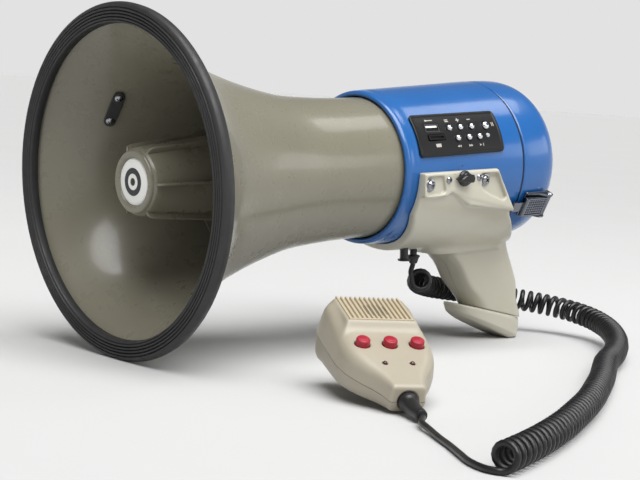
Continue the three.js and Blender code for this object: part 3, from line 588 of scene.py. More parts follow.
def printed(name, tone):
    n = Nodes(name)
    return n.shaded(
        Base_Color=n.mix(n.remap(n.noise(0.5, 2), 0.4, 0.7, 0, 0.4), tone, dimmed(tone, 0.8)),
        Roughness=n.remap(n.noise(2), 0.3, 0.7, 0.4, 0.55),
        Normal=n.bump(n.noise(0.3, 2), 0.004, 0.4))


def lamp_lens(name, tone):
    n = Nodes(name)
    return n.shaded(
        Base_Color=n.mix(n.remap(n.noise(1.5, 2), 0.3, 0.7, 0, 1), tone, dimmed(tone, 0.6)),
        Roughness=n.remap(n.noise(0.8, 2), 0.3, 0.7, 0.06, 0.16),
        Coat_Weight=0.6, Coat_Roughness=0.05)


# The bell, reflex horn and grip are one beige plastic. This darker copy, on the bell and the reflex horn, is
# painted shade.
HORN_PLASTIC_PAINTED_SHADE = moulded("horn_plastic_painted_shade", colour(122, 119, 104), colour(118, 114, 99), 0.28, coat=0.3, gloss=0.42)
# This lighter copy of the same beige plastic, on the grip halves and the foot, is painted light.
GRIP_PLASTIC_PAINTED_LIGHT = moulded("grip_plastic_painted_light", colour(186, 183, 168), colour(181, 177, 161), 0.3, coat=0.2)
BLUE = moulded("blue_gloss", colour(30, 92, 158), colour(28, 87, 150), 0.24, coat=0.35)
CREAM = moulded("cream_satin", colour(164, 157, 141), colour(157, 149, 132), 0.38, peel=0.012)
GRILLE_CREAM = moulded("grille_cream", colour(182, 170, 147), colour(172, 159, 134), 0.45, peel=0.01)
BLACK = moulded("black_satin", colour(28, 28, 30), colour(22, 22, 24), 0.36, grain=0.008)
PANEL_BLACK = moulded("panel_black", colour(17, 16, 16), colour(12, 12, 12), 0.42, grain=0.006, gloss=0.35)
KNOB_BLACK = moulded("knob_black", colour(20, 20, 21), colour(14, 14, 15), 0.3)
CRIMSON = moulded("crimson_key", colour(160, 26, 48), colour(146, 22, 42), 0.36, peel=0.01)
WHITE = moulded("badge_white", colour(236, 236, 232), colour(226, 226, 222), 0.35, peel=0.01)
RIM = rubber("rim_rubber", colour(36, 36, 37), colour(48, 47, 46))
CORD = rubber("cord_rubber", colour(12, 12, 13), colour(19, 19, 20), 0.3, 0.44)
SEAL = rubber("seal_rubber", colour(16, 16, 18), colour(24, 24, 26))
CHROME = bright_metal("chrome", colour(226, 228, 232), 0.1)
STEEL = bright_metal("brushed_steel", colour(150, 152, 156), 0.32, 0.01, (1, 14, 1))
SCREW_STEEL = bright_metal("screw_steel", colour(158, 160, 166), 0.16)
LATCH_CHROME = bright_metal("latch_chrome", colour(122, 126, 134), 0.14, 0.06)
DARK_STEEL = bright_metal("magnet_steel", colour(92, 93, 97), 0.42, 0.02)
SYMBOL = printed("panel_symbols", colour(176, 172, 166))
BADGE_INK = printed("badge_ink", colour(36, 38, 44))
BATTERY_WRAP = moulded("battery_wrap", colour(40, 74, 140), colour(34, 62, 120), 0.3)
BOARD = moulded("circuit_board", colour(26, 84, 48), colour(20, 66, 38), 0.4)
RED_LENS = lamp_lens("red_lens", colour(72, 14, 18))
CLEAR_LENS = lamp_lens("pale_lens", colour(186, 190, 196))


# ---------- the curly cord ----------

WIRE_RADIUS = 1.9
CURL_RADIUS = 6.85               # of the wire's centreline round the curly part's middle line
CURL_PITCH = [(0, 6.6), (0.45, 6.4), (0.7, 7.6), (1, 7.6)]     # at shares of its length
POINTS_PER_TURN = 16
CORD_EXIT = (7, 260, -73)        # in the megaphone's own frame
BOOT = {"length": 24, "up": 0.5}                  # in the handset's own frame

# The middle line of the curly part and the plain tail, as the CAD solids lie.
CURL_ROUTE = [
    (11.4, 269.3, 47.7), (1, 278, 45.8), (-11, 289, 43), (-22, 302.5, 39.8), (-29.5, 318, 36.6),
    (-33, 336, 33.8), (-33.5, 357, 31.2), (-30.5, 379, 28.8), (-22, 400, 26.3), (-8, 418, 23.7),
    (12, 430, 20.9), (37, 431, 18), (64, 420, 15), (92, 398, 12.2), (119, 368, 10.1), (142, 336, 9.1),
    (161, 306, 8.95), (183, 277, 8.95), (207, 246, 8.95), (230, 214, 8.95), (251, 184, 8.95),
    (270, 155, 8.95), (287, 127, 8.95), (303, 100, 8.95), (317, 74, 8.95), (329, 50, 8.95),
    (339, 28, 8.95), (347, 9, 8.95), (351.5, -2.5, 8.95),
]
MIC_TAIL = [
    (342.6, -5.2, 2.1), (328, -1, 2.1), (312, 8, 2.1), (295, 18, 2.1), (278, 27, 2.2), (262, 35.5, 2.9),
    (250, 41.5, 3.9),
]


def travelled(line):
    """The distance along a line to each of its points."""
    return np.concatenate([[0], np.cumsum(np.linalg.norm(np.diff(line, axis=0), axis=1))])


def helix(route):
    """A helix round the route. It starts on its near side on the way down, and ends at its lowest point."""
    fine = smooth_line(route, 40)
    reach = travelled(fine)
    shares, pitches = zip(*CURL_PITCH)
    pitch = np.interp(reach / reach[-1], shares, pitches)
    turned = np.concatenate([[0], np.cumsum(np.diff(reach) * 2 / (pitch[1:] + pitch[:-1]))])
    turns = math.floor(turned[-1]) + 0.25
    count = round(turns * POINTS_PER_TURN)
    at = np.interp(np.linspace(0, turned[-1], count + 1), turned, reach)
    line = np.column_stack([np.interp(at, reach, fine[:, k]) for k in range(3)])
    along = np.gradient(line, axis=0)
    along /= np.linalg.norm(along, axis=1)[:, None]
    side = np.cross(along, (0, 0, 1.0))
    side /= np.linalg.norm(side, axis=1)[:, None]
    angle = (math.pi + math.tau * turns * np.arange(count + 1) / count)[:, None]
    return line + CURL_RADIUS * (np.cos(angle) * side - np.sin(angle) * np.cross(along, side))


def make_cord():
    to_table = TABLE.inverted()
    start = to_table @ (MEGA @ Vector(CORD_EXIT))
    drop = BOOT["length"] * math.tan(MIC_TILT / 2)
    end = to_table @ (HAND @ Vector((BOOT["length"] + 1, 0, BOOT["up"] + drop)))
    coil = helix(CURL_ROUTE)
    first, last = coil[1] - coil[0], (coil[-1] - coil[-2]) * (1, 1, 0)
    top = smooth_line([start, coil[0] - 2 * first, coil[0] - first, coil[0]], 5)
    tail = smooth_line([coil[-1], coil[-1] + last, *MIC_TAIL, end], 6)
    path = np.vstack([top[:-1], coil, tail[1:]])
    cord = placed("curly_cord", tube(path, [WIRE_RADIUS] * len(path)), TABLE)
    cord.data.materials.append(CORD)
    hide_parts("cord_tail_top", "cord_curl", "cord_tail_mic")
    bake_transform(cord)


# ---------- bell, rim and reflex horn ----------

BELL_OUTER = [
    (112.4, 6.6), (108.5, 8.2), (97.5, 20), (86, 35), (75.5, 55), (66.3, 80), (57.9, 110),
    (53.4, 132), (51.3, 155), (50.1, 182), (50, 212),
]
BELL_WALL = 2.5


def make_bell():
    outer = smooth_line(BELL_OUTER, 8)
    piece("horn_bell_moulding", lathe(wall(outer, BELL_WALL), 192, closed=True), MEGA, HORN_PLASTIC_PAINTED_SHADE,
          ["horn_bell"])


def make_rim():
    ridges = []
    for radius in (110.3, 108.3, 106.3, 104.3):
        ridges += [(radius + 0.95, 1.7), (radius + 0.6, 0.6), (radius, 0.2), (radius - 0.6, 0.6)]
    profile = [
        (109.9, 9.3), (112.9, 9.5), (114.3, 8.2), (115, 5.2), (114.9, 3.8), (114.1, 2.2), (112.9, 1.2),
        (111.8, 0.7), *ridges, (103.35, 1.7), (102.9, 1.0), (102.2, 1.2), (101.7, 2.2), (101.35, 4.2),
        (101.3, 6.8), (106.5, 5.7), (111.2, 3.7), (112.8, 3.9), (112.8, 7), (109.8, 8.3),
    ]
    piece("rim_rubber_trim", lathe(softened(profile, 0.3, steps=2), 192, closed=True), MEGA, RIM,
          ["rim_trim"])


BOSS_FRONT = 17
RIBS = 6


def make_reflex_horn():
    cup = [
        (0, BOSS_FRONT), (15.2, BOSS_FRONT), (15.6, 15.4), (16.4, 14.5), (18, 14.3), (19.9, 14.5),
        (20.6, 15.4), (20.9, 16.6), (21.4, 17.2), (22.1, 18.3), (22.6, 21), (23.4, 30), (24.6, 45),
        (27, 70), (31, 112), (28.6, 112), (24.7, 70), (22.3, 45), (20, 20.6), (0, 19.6),
    ]
    rib = softened([
        (20, 17.4), (24.8, 18.2), (26.4, 21.5), (28.6, 45), (31, 70), (36, 86), (54, 101), (54, 112),
        (26, 112), (20.5, 40),
    ], 1.2)
    ribs = [turned_shape(prism(rib, -0.9, 0.9), spin(360 / RIBS * k, "Y")) for k in range(RIBS)]
    piece("reflex_horn_cup", soft_lathe(cup, 0.8, 96, 3), MEGA, HORN_PLASTIC_PAINTED_SHADE, ["reflex_horn"])
    piece("reflex_horn_ribs", together(*ribs), MEGA, HORN_PLASTIC_PAINTED_SHADE, bevel=0.5)


def make_badge():
    disc = [(0, 14.6), (8, 14.75), (13.2, 15), (14.8, 15.4), (15.3, 16), (15.3, 16.7), (0, 16.7)]
    piece("boss_badge_disc", lathe(disc, 96), MEGA, WHITE, ["boss_badge"])
    ring = [(5.3, 14.72), (5.5, 14.5), (8.9, 14.6), (9.1, 14.82)]
    dot = [(0, 14.42), (2.3, 14.46), (2.6, 14.7)]
    mark = together(lathe(ring, 96), lathe(dot, 48))
    piece("boss_badge_rings", mark, MEGA, BADGE_INK)


def dress_cad_nodes():
    """Gives each CAD node that is shown as it is its finished material."""
    for node, material in (
            ("driver_housing", BLACK), ("driver_diaphragm", BLUE), ("driver_magnet", DARK_STEEL),
            ("battery_holder", BLACK), ("main_board", BOARD), ("rotary_switch", STEEL),
            ("mic_capsule", BLACK)):
        made = frame["nodes"][node]
        made.data.materials.clear()
        made.data.materials.append(material)


# ---------- screws ----------

def screw_head(radius, height):
    """A domed cross-recessed head on +X, with its seat at zero."""
    profile = [(0, height)]
    profile += [(radius * math.sin(a), height * math.cos(a)) for a in np.linspace(0.2, 1.45, 8)]
    profile += [(radius, 0), (0, -0.6)]
    return turned_shape(lathe(profile, 40), ALONG_X)


def cross_recess(radius, height):
    """The cutter of a cross recess in such a head."""
    arm, half = radius * 0.6, radius * 0.15
    plus = [
        (arm, -half), (arm, half), (half, half), (half, arm), (-half, arm), (-half, half), (-arm, half),
        (-arm, -half), (-half, -half), (-half, -arm), (half, -arm), (half, -half),
    ]
    low, high = ([(x, share * y, share * z) for y, z in plus]
                 for x, share in ((height * 0.2, 0.6), (height + 1, 1.1)))
    return loft([low, high])


def make_screw(name, where, radius, height, node, washer=0.0):
    screw = piece(name, screw_head(radius, height), where, SCREW_STEEL, [node])
    carve(screw, cross_recess(radius, height), where)
    if washer:
        ring = lathe([(0, -0.7), (washer, -0.7), (washer, -0.1), (washer - 0.3, 0.1), (0, 0.1)], 40)
        piece(f"{name}_washer", turned_shape(ring, ALONG_X), where, SCREW_STEEL)


# ---------- strap fittings ----------

STRAP_ANGLE, STRAP_RADIUS, STRAP_PLACE, STRAP_LEAN, STRAP_SCREW = 146, 80.4, 46, 30, 9.5
STRAP_PLATE = {"inner": -6.1, "outer": -4.5, "end": 10, "radius": 4}
RING_HINGE = Matrix.Translation((6.6, 0, 0))
RING_ANGLE = 80                  # degrees of the loop at rest


def make_strap_fittings():
    fitting = radial(STRAP_ANGLE) @ Matrix.Translation((STRAP_RADIUS, STRAP_PLACE, 0))
    fitting = fitting @ spin(STRAP_LEAN, "Z")
    inner, outer, end, radius = STRAP_PLATE.values()
    half_round = [(end + radius * math.cos(a), radius * math.sin(a))
                  for a in np.linspace(-math.pi / 2, math.pi / 2, 13)]
    outline = half_round + [(-x, -y) for x, y in half_round]
    plate = upright_prism([(y, x) for x, y in outline], inner, outer)
    piece("strap_backing_plate", plate, fitting, BLACK, ["strap_plate"], bevel=0.35)
    for i, z in enumerate((-STRAP_SCREW, STRAP_SCREW)):
        inward = fitting @ Matrix.Translation((inner, 0, z)) @ ABOUT_FACE
        make_screw(f"strap_screw_head_{i + 1}", inward, 3.1, 1.8, f"strap_screw_{i + 1}")
    ear = softened([(2.6, -5), (7.5, -5), (10.5, -2.2), (10.5, 2.2), (7.5, 5), (2.6, 5)], 1.5)
    lug = together(box(0.4, 2.8, -5, 5, -14, 14), prism(ear, -2, 2))
    made = piece("strap_lug_bracket", lug, fitting, STEEL, ["strap_lug"], bevel=0.4)
    bore = turned_shape(lathe([(0, -3), (2.6, -3), (2.6, 3), (0, 3)], 32), ALONG_Z)
    carve(made, turned_shape(bore, RING_HINGE), fitting)
    hinge = fitting @ RING_HINGE @ spin(RING_ANGLE, "Z")
    corners = [
        (0, 0, -11.5), (0, 0, 11.5), (13.5, 0, 11.5), (17.5, 0, 7.4), (17.5, 0, -7.4), (13.5, 0, -11.5),
    ]
    loop = softened(corners, 3, steps=6)
    loop = np.vstack([loop, loop[:1]])
    piece("strap_d_ring", tube(loop, [1.5] * len(loop), 16), hinge, CHROME, ["strap_ring"],
          body="strap_loop")


# ---------- barrel, rear cover and what is in them ----------

BARREL_FRONT, BARREL_REAR = 211, 319
BARREL_FRONT_RADIUS, BARREL_REAR_RADIUS = 55, 59.5


def barrel_radius(place):
    share = (place - BARREL_FRONT) / (BARREL_REAR - BARREL_FRONT)
    return BARREL_FRONT_RADIUS + share * (BARREL_REAR_RADIUS - BARREL_FRONT_RADIUS)


def make_barrel():
    lip = smooth_line([
        (50.6, 209.4), (50.9, 207.6), (52, 206.5), (53.4, 206.6), (54.5, 208), (54.95, 210.4), (54.9, 213),
        (55.05, 215.2), (55.35, 217.5)], 5)
    outer = [*lip, *((barrel_radius(t), t) for t in np.linspace(221, 317.6, 12))]
    rear = [(BARREL_REAR_RADIUS - 0.05, 318.5), (BARREL_REAR_RADIUS - 0.6, BARREL_REAR)]
    inner = [(57, BARREL_REAR), (52.5, 212.6), (50.6, 212.2)]
    piece("barrel_blue_shell", lathe([*outer, *rear, *inner], 192, closed=True), MEGA, BLUE,
          ["barrel_shell"])


def make_seal():
    ring = [(57.3, 319.35), (58.2, 319.3), (58.9, 319.5), (58.9, 320.3), (58.2, 320.5), (57.3, 320.45)]
    piece("seam_seal_ring", lathe(ring, 160, closed=True), MEGA, SEAL, ["seam_seal"])


def make_cover():
    dome = smooth_line([
        (59.3, 321.6), (59.6, 327), (59.6, 336), (59.1, 344.5), (57.4, 351.5), (53.2, 358), (46.5, 362.4),
        (38.5, 364.6), (33, 364.95)], 6)
    back = [
        (31.6, 364.9), (31.2, 364.1), (30.2, 363.7), (29.2, 364.1), (28.8, 364.8), (20, 364.95), (0, 365),
    ]
    front = [(54, 313.2), (56.2, 313.2), (56.2, 320.9), (58.8, 320.9)]
    inside = [
        (0, 362.3), (28, 362.1), (35, 361.6), (46, 358.7), (53.5, 352), (56.4, 344), (56.8, 327), (54, 322),
    ]
    profile = [*inside, *front, *dome, *back]
    piece("rear_cover_blue", lathe(profile, 192), MEGA, BLUE, ["battery_cover"],
          body="rear_cover")


CELL_RADIUS = 13.1
CELL_PLACES = [(x, z) for x in (-13.6, 13.6) for z in (-13.6, 13.6)]
CELL_STARTS = (232.5, 286.5)


def make_batteries():
    cells = []
    for x, z in CELL_PLACES:
        for start in CELL_STARTS:
            profile = [(0, 0), (CELL_RADIUS - 1, 0), (CELL_RADIUS, 1), (CELL_RADIUS, 48.6),
                       (CELL_RADIUS - 1.2, 49.6), (4, 49.8), (3.6, 51.6), (0, 51.8)]
            cells.append(turned_shape(soft_lathe(profile, 0.5, 40), Matrix.Translation((x, start, z))))
    piece("battery_cells", together(*cells), MEGA, BATTERY_WRAP, ["battery_pack"])


# ---------- control panel ----------

PANEL_ANGLE = 27
PANEL = {
    "front": 218, "rear": 299, "half_width": 15.8, "corner": 3.2, "border": 2,
    "low": 0.4, "floor": 1.55, "lift": 1.9,      # lifts over the barrel of its back, recess and border
}
BUTTONS = [(250.5, 4, 2.3), (261.3, 4, 2.3), (272.1, 4, 2.3), (256, -4, 2.3), (266.8, -4, 2.3),
           (277, -4, 2.3), (286, 4, 3)]            # place along the barrel, height on the panel, radius
LED = (286, -3.4, 1.8)
USB = {"t": 234.7, "up": 5, "half_t": 7, "half_up": 3}
SLOT = {"t": 236.4, "up": -2.4, "half_t": 7.8, "half_up": 2}
SOCKET_FLOOR = 56.4              # just over the barrel, which would show in the sockets
PART_FOOT = 44                   # where the socket and the slot end inside the barrel


def wrapped(vertices):
    """Points of the flat panel (place, height, lift over the barrel) laid round the barrel."""
    t, up, lift = np.array(vertices, float).T
    radius = barrel_radius(t)
    angle = up / radius
    return np.column_stack([(radius + lift) * np.cos(angle), t, (radius + lift) * np.sin(angle)])


def make_panel():
    field = Field((216, -18, -0.6), (301, 18, 3), 0.42)
    t, up, lift = field.x, field.y, field.z
    middle, half_t = (PANEL["front"] + PANEL["rear"]) / 2, (PANEL["rear"] - PANEL["front"]) / 2
    corner = PANEL["corner"]
    u, v = np.abs(t - middle) - half_t + corner, np.abs(up) - PANEL["half_width"] + corner
    sheet = np.hypot(np.maximum(u, 0), np.maximum(v, 0)) + np.minimum(np.maximum(u, v), 0) - corner
    plate = kept(sheet, np.maximum(lift - PANEL["lift"], PANEL["low"] - lift), 0.5)
    recess = past_rectangle(t - middle, up, half_t - PANEL["border"], PANEL["half_width"] - PANEL["border"])
    plate = without(plate, np.maximum(recess, PANEL["floor"] - lift), 0.3)
    for place, height, radius in [*BUTTONS, LED]:
        plate = without(plate, np.hypot(t - place, up - height) - radius - 0.35, 0.3)
    for socket in (USB, SLOT):
        hole = past_rectangle(t - socket["t"], up - socket["up"], socket["half_t"], socket["half_up"])
        plate = without(plate, hole - 0.2, 0.3)
    points, faces = field.surface(plate.astype(np.float32), 4)
    where = radial(PANEL_ANGLE)
    piece("control_panel_plate", (wrapped(points), faces), where, PANEL_BLACK,
          ["control_panel"])
    piece("control_panel_symbols", panel_symbols(), where, SYMBOL)
    make_panel_parts(where)


BARS = [                         # place and height of the middle, half sizes
    (250.5, 10.2, 1.6, 0.4), (250.5, 8.9, 1.6, 0.4), (261.3, 9.6, 1.6, 0.35), (261.3, 9.6, 0.35, 1.6),
    (272.1, 9.6, 1.6, 0.35), (279.2, -9.8, 0.3, 1), (292.6, 4.6, 0.35, 1.5), (294, 4.6, 0.35, 1.5),
    (234.7, 10.6, 3, 0.35), (231.3, 10.6, 0.7, 0.7), (236.4, -8.2, 2.4, 1.2),
]
ARROWS = [(256.8, -0.9), (254.9, -0.9), (266.2, 0.9), (268.1, 0.9), (276.6, 0.9)]     # place, half length
ARROW_HEIGHT = -9.8


def panel_symbols():
    """Plain marks beside the keys: arrowheads and bars."""
    marks = [rectangle(*bar) for bar in BARS]
    for t, half in ARROWS:
        rise = half if half > 0 else -half
        head = [(t - half, ARROW_HEIGHT - rise), (t + half, ARROW_HEIGHT), (t - half, ARROW_HEIGHT + rise)]
        marks.append(head if half > 0 else head[::-1])
    solids = [prism(mark, 1.45, 1.62) for mark in marks]
    return together(*((wrapped(vertices), faces) for vertices, faces in solids))


def make_panel_parts(where):
    usb, slot = rectangle(*USB.values()), rectangle(*SLOT.values())
    shell = piece("usb_socket_shell", upright_prism(softened(usb, 0.8), PART_FOOT, 57.2), where, CHROME,
                  ["usb_socket"])
    room = rectangle(USB["t"], USB["up"], 0.88 * USB["half_t"], 0.8 * USB["half_up"])
    carve(shell, upright_prism(room, SOCKET_FLOOR - 0.2, 60), where)
    piece("usb_socket_floor", upright_prism(room, SOCKET_FLOOR - 0.3, SOCKET_FLOOR), where, KNOB_BLACK)
    tongue = box(SOCKET_FLOOR - 0.1, 57, USB["t"] - 5.4, USB["t"] + 5.4, USB["up"] + 0.2, USB["up"] + 1.6)
    piece("usb_socket_tongue", tongue, where, WHITE, bevel=0.15)
    holder = piece("card_slot_frame", upright_prism(softened(slot, 0.7), PART_FOOT, 57.9), where,
                   KNOB_BLACK, ["card_slot"])
    gap = rectangle(SLOT["t"], SLOT["up"], 6.4, 0.7)
    carve(holder, upright_prism(gap, SOCKET_FLOOR + 0.2, 60), where)
    led_t, led_up, _ = LED
    led_top = barrel_radius(led_t) + PANEL["lift"]
    led = [(0, 46), (1.7, 46), (1.7, led_top - 0.6), (1.2, led_top), (0, led_top + 0.2)]
    seat = Matrix.Translation((0, led_t, led_up)) @ ALONG_X
    piece("panel_led_lens", turned_shape(lathe(led, 24), seat), where, CLEAR_LENS,
          ["panel_led"])
    for i, (place, height, radius) in enumerate(BUTTONS):
        top = barrel_radius(place) + PANEL["lift"] - height ** 2 / (2 * barrel_radius(place))
        dome = [(radius * math.sin(a), top + 0.1 + 1.8 * math.cos(a)) for a in np.linspace(0, math.pi / 2, 9)]
        profile = [*dome, (radius, 51.6), (1.4, 51), (1.4, 45), (0, 45)]
        seat = Matrix.Translation((0, place, height)) @ ALONG_X
        piece(f"panel_key_cap_{i + 1}", turned_shape(lathe(profile, 40), seat), where, CHROME,
              [f"panel_button_{i + 1}"], body=f"panel_key_{i + 1}")


# ---------- grip ----------

GRIP_SIDE = 62.4                 # half width of the flat sides of the bracket
BIG_SCREWS = ((223.5, -8.5), (278, -7.5))
SMALL_SCREWS = ((239.5, -5.5), (269.5, -5.2))
KNOB = (254, -5)
BRACKET = [
    (217, 0), (289, 0), (303, -23), (313, -36), (328, -49), (347, -62), (350, -72), (238, -72),
    (224, -46), (216, -30),
]
SIDE_PLATE = [(217, 0), (289, 0), (303, -23), (307, -30), (262, -20), (243, -14.5), (239, -17), (217, -17)]
SIDE_WEDGE = [(240, -12), (296, -12), (303, -23), (309, -32), (262, -25)]
SCREW_POCKETS = [
    [(219.2, -2.6), (235, -2.6), (237.5, -13), (234, -15.6), (219.2, -15.6)],
    [(271.8, -2.6), (288.8, -2.6), (299, -20.5), (296, -23), (283, -18.5), (273.5, -13.5)],
]
POCKET_FLOOR = 59.9
NECK = [                         # depth under the axis, middle, half length, half width
    (20, 280, 43, 57), (32, 284, 42, 50), (42, 289, 41, 43), (52, 296, 40, 32), (60, 303, 38.5, 23.5),
    (66.5, 308, 36, 20),
]
HANDLE = [                       # the same
    (56, 313, 36, 18.5), (68, 322, 31, 17.6), (78, 329.5, 28.5, 16.6), (90, 336, 27.7, 16.2),
    (104, 344, 26.6, 15.8), (118, 350, 25.7, 15.8), (128, 352, 25.5, 16),
]
HANDLE_SQUARENESS = [(56, 4.6), (72, 4.6), (92, 4.2), (104, 2.4), (128, 2.2)]     # at depths under the axis
FOOT_TOP = {"t": 341, "drop": 116, "tilt": math.radians(14.7)}
FOOT_REST = {"t": 370, "drop": 140}
NOSE = math.atan2(MEGA.col[1].z, MEGA.col[1].y)          # how far the axis dips towards the bell
BRACKET_LIFT = 5.6               # of its outer face over the barrel
BIG_SEAT, SMALL_SEAT = 60.6, 62.5        # where the screws' heads sit, from the middle


def cross_sections(drop, table):
    """The middle, half length and half width at each depth under the axis."""
    depths, *columns = zip(*table)
    return [eased(drop, depths, column) for column in columns]


def foot_axes(t, drop):
    """The place along the foot's sloping top, and the depth under it."""
    t, drop = t - FOOT_TOP["t"], drop - FOOT_TOP["drop"]
    cos, sin = math.cos(FOOT_TOP["tilt"]), math.sin(FOOT_TOP["tilt"])
    return t * cos + drop * sin, drop * cos - t * sin


def grip_surface():
    field = Field((-66, 211, -134), (66, 383, 3), 0.85)
    x, t, z = field.x, field.y, field.z
    drop, off_axis = -z, np.hypot(field.x, field.z)
    shell_radius = np.interp(t, (BARREL_FRONT, BARREL_REAR), (BARREL_FRONT_RADIUS, BARREL_REAR_RADIUS))
    bracket = kept(off_axis - shell_radius - BRACKET_LIFT, inside_outline(BRACKET, t, z), 2.0)
    plate = kept(np.abs(x) - GRIP_SIDE, inside_outline(SIDE_PLATE, t, z), 1.6)
    wedge = kept(np.abs(x) - GRIP_SIDE + 0.4, inside_outline(SIDE_WEDGE, t, z), 2.0)
    body = merged(merged(bracket, plate, 1.0), wedge, 1.5)

    middle, length, width = cross_sections(drop, NECK)
    neck = oval(x, t - middle, width, length, 5)
    neck = kept(kept(neck, drop - NECK[-1][0], 1.2), 18 - drop, 2)
    body = merged(body, neck, 5)

    middle, length, width = cross_sections(drop, HANDLE)
    squareness = eased(drop, *zip(*HANDLE_SQUARENESS))
    handle = oval(x, t - middle, width * 1.2, length, squareness)
    handle = kept(handle, np.abs(x) - width + 0.6, 1.4)
    handle = kept(handle, HANDLE[0][0] - drop, 2)
    body = merged(body, handle, 2.4)

    room = np.maximum(off_axis - shell_radius - 0.4 - np.where(t > BARREL_REAR, 0.6, 0), 205 - t)
    body = without(body, room, 0.4)
    _, below = foot_axes(t, drop)
    body = kept(body, below + 0.15, 0.5)

    for outline in SCREW_POCKETS:
        pocket = np.maximum(inside_outline(softened(outline, 1.5), t, z), POCKET_FLOOR - np.abs(x))
        body = without(body, pocket, 1.2)
    for place, up in BIG_SCREWS:
        body = without(body, np.maximum(np.hypot(t - place, z - up) - 5.2, 59.7 - np.abs(x)), 0.5)
    shaft = np.maximum(np.hypot(t - KNOB[0], z - KNOB[1]) - 4, 50 - x)
    body = without(body, shaft, 0.4)
    return field.surface(body.astype(np.float32), 8)


GRIP_SEAM = 0.12 * MM            # from the middle to each half


def make_grip():
    shape = grip_surface()
    for side, sign in (("left", 1), ("right", -1)):
        normal = Vector((sign, 0, 0))
        shell = piece(f"grip_{side}_half", shape, MEGA, GRIP_PLASTIC_PAINTED_LIGHT, [f"grip_{side}_shell"])
        halved(shell, MEGA.translation + normal * GRIP_SEAM, normal)


FOOT_SHARES = (0, 0.2, 0.75, 1)          # of the foot's thickness, for its half width and half length
FOOT_HALF_WIDTHS = (17, 17.6, 17.2, 14.8)
FOOT_HALF_LENGTHS = (36, 36.6, 35.4, 31.6)


def make_foot():
    field = Field((-20, 300, -148), (20, 386, -100), 0.6)
    x, t, z = field.x, field.y, field.z
    along, depth = foot_axes(t, -z)
    thickness = 13.6 + 0.164 * along
    share = np.clip(depth / thickness, 0, 1)
    half_width = np.interp(share, FOOT_SHARES, FOOT_HALF_WIDTHS)
    half_length = np.interp(share, FOOT_SHARES, FOOT_HALF_LENGTHS)
    slab = oval(x, along - 4.5 * share, half_width, half_length, 2.6)
    table = (-FOOT_REST["drop"] - z) * math.cos(NOSE) - (t - FOOT_REST["t"]) * math.sin(NOSE)
    under = np.maximum(table, depth - thickness)
    foot = kept(kept(slab, 0.2 - depth, 1.2), under, 2.2)
    foot = np.maximum(foot, table)
    eye = past_rectangle(along - 31, x, 1.2, 5)
    foot = without(foot, np.maximum(eye, depth - 6), 0.4)
    piece("grip_foot_plate", field.surface(foot.astype(np.float32), 6), MEGA, GRIP_PLASTIC_PAINTED_LIGHT,
          ["grip_foot"])


def make_grip_screws():
    for side, sign in (("left", 1), ("right", -1)):
        for place, (t, up) in zip(("front", "rear"), BIG_SCREWS):
            seat = MEGA @ Matrix.Translation((sign * BIG_SEAT, t, up))
            if sign < 0:
                seat = seat @ ABOUT_FACE
            seat = seat @ spin(25 + 0.7 * t, "X")
            make_screw(f"grip_screw_head_{side}_{place}", seat, 3.5, 2.4, f"grip_screw_{side}_{place}",
                       washer=4.5)
    for place, (t, up) in zip(("front", "rear"), SMALL_SCREWS):
        seat = MEGA @ Matrix.Translation((SMALL_SEAT, t, up)) @ spin(t, "X")
        make_screw(f"switch_screw_head_{place}", seat, 2.6, 1.7, f"switch_screw_{place}")


def make_selector():
    where = MEGA @ Matrix.Translation((0, *KNOB))
    base = [
        (0, 54.4), (3.4, 54.4), (3.4, 62.7), (5.6, 62.7), (5.8, 63.3), (5.6, 64.3), (4.8, 64.8),
        (4.4, 66.6), (3.8, 67.2), (0, 67.3),
    ]
    knob = turned_shape(soft_lathe(base, 0.4, 56), ALONG_X)
    pointer = softened([(-9.2, 0), (-3.4, 3.2), (5.4, 3.1), (6.6, 0), (5.4, -3.1), (-3.4, -3.2)], 0.9)
    rings = [np.column_stack([pointer * share, np.full(len(pointer), x)])
             for x, share in ((63.4, 1), (65.4, 0.98), (68.4, 0.88), (69.1, 0.74))]
    grip = turned_shape(loft([[tuple(p) for p in ring] for ring in rings]), UPRIGHT)
    piece("selector_knob_cap", together(knob, grip), where, KNOB_BLACK, ["selector_knob"],
          body="selector", bevel=0.25)
    ticks = []
    for degrees in (-60, 0, 60):
        tick = box(GRIP_SIDE, GRIP_SIDE + 0.08, -0.35, 0.35, 8.4, 9.8)
        ticks.append(turned_shape(tick, spin(degrees / 2 + 40, "X")))
    piece("selector_scale_marks", together(*ticks), where, BADGE_INK)


JACK_PLACE = (18, 240)


def make_cord_gland():
    gland = [
        (0, 54), (2.6, 54), (2.6, 66.6), (4.8, 66.7), (4.9, 67.8), (4.1, 68.5), (3.6, 70.2), (2.9, 72.4),
        (2.4, 72.9), (0, 73),
    ]
    jack = [
        (0, 50), (3, 50), (3, 66.6), (4.6, 66.7), (4.6, 67.5), (4.2, 67.8), (2.4, 67.8), (2, 67.4),
        (2, 61.2), (0, 61),
    ]
    for name, shape, place, node in (
            ("cord_gland_bush", soft_lathe(gland, 0.3, 40), CORD_EXIT[:2], "cord_gland"),
            ("dc_jack_socket", lathe(jack, 40), JACK_PLACE, "dc_jack")):
        where = MEGA @ Matrix.Translation((*place, 0)) @ DOWN_Z
        piece(name, shape, where, BLACK, [node])


# ---------- latches ----------

LATCH_ANGLES = {"left": -28, "right": 208}
LATCH_PIVOT = (64, 346.5)


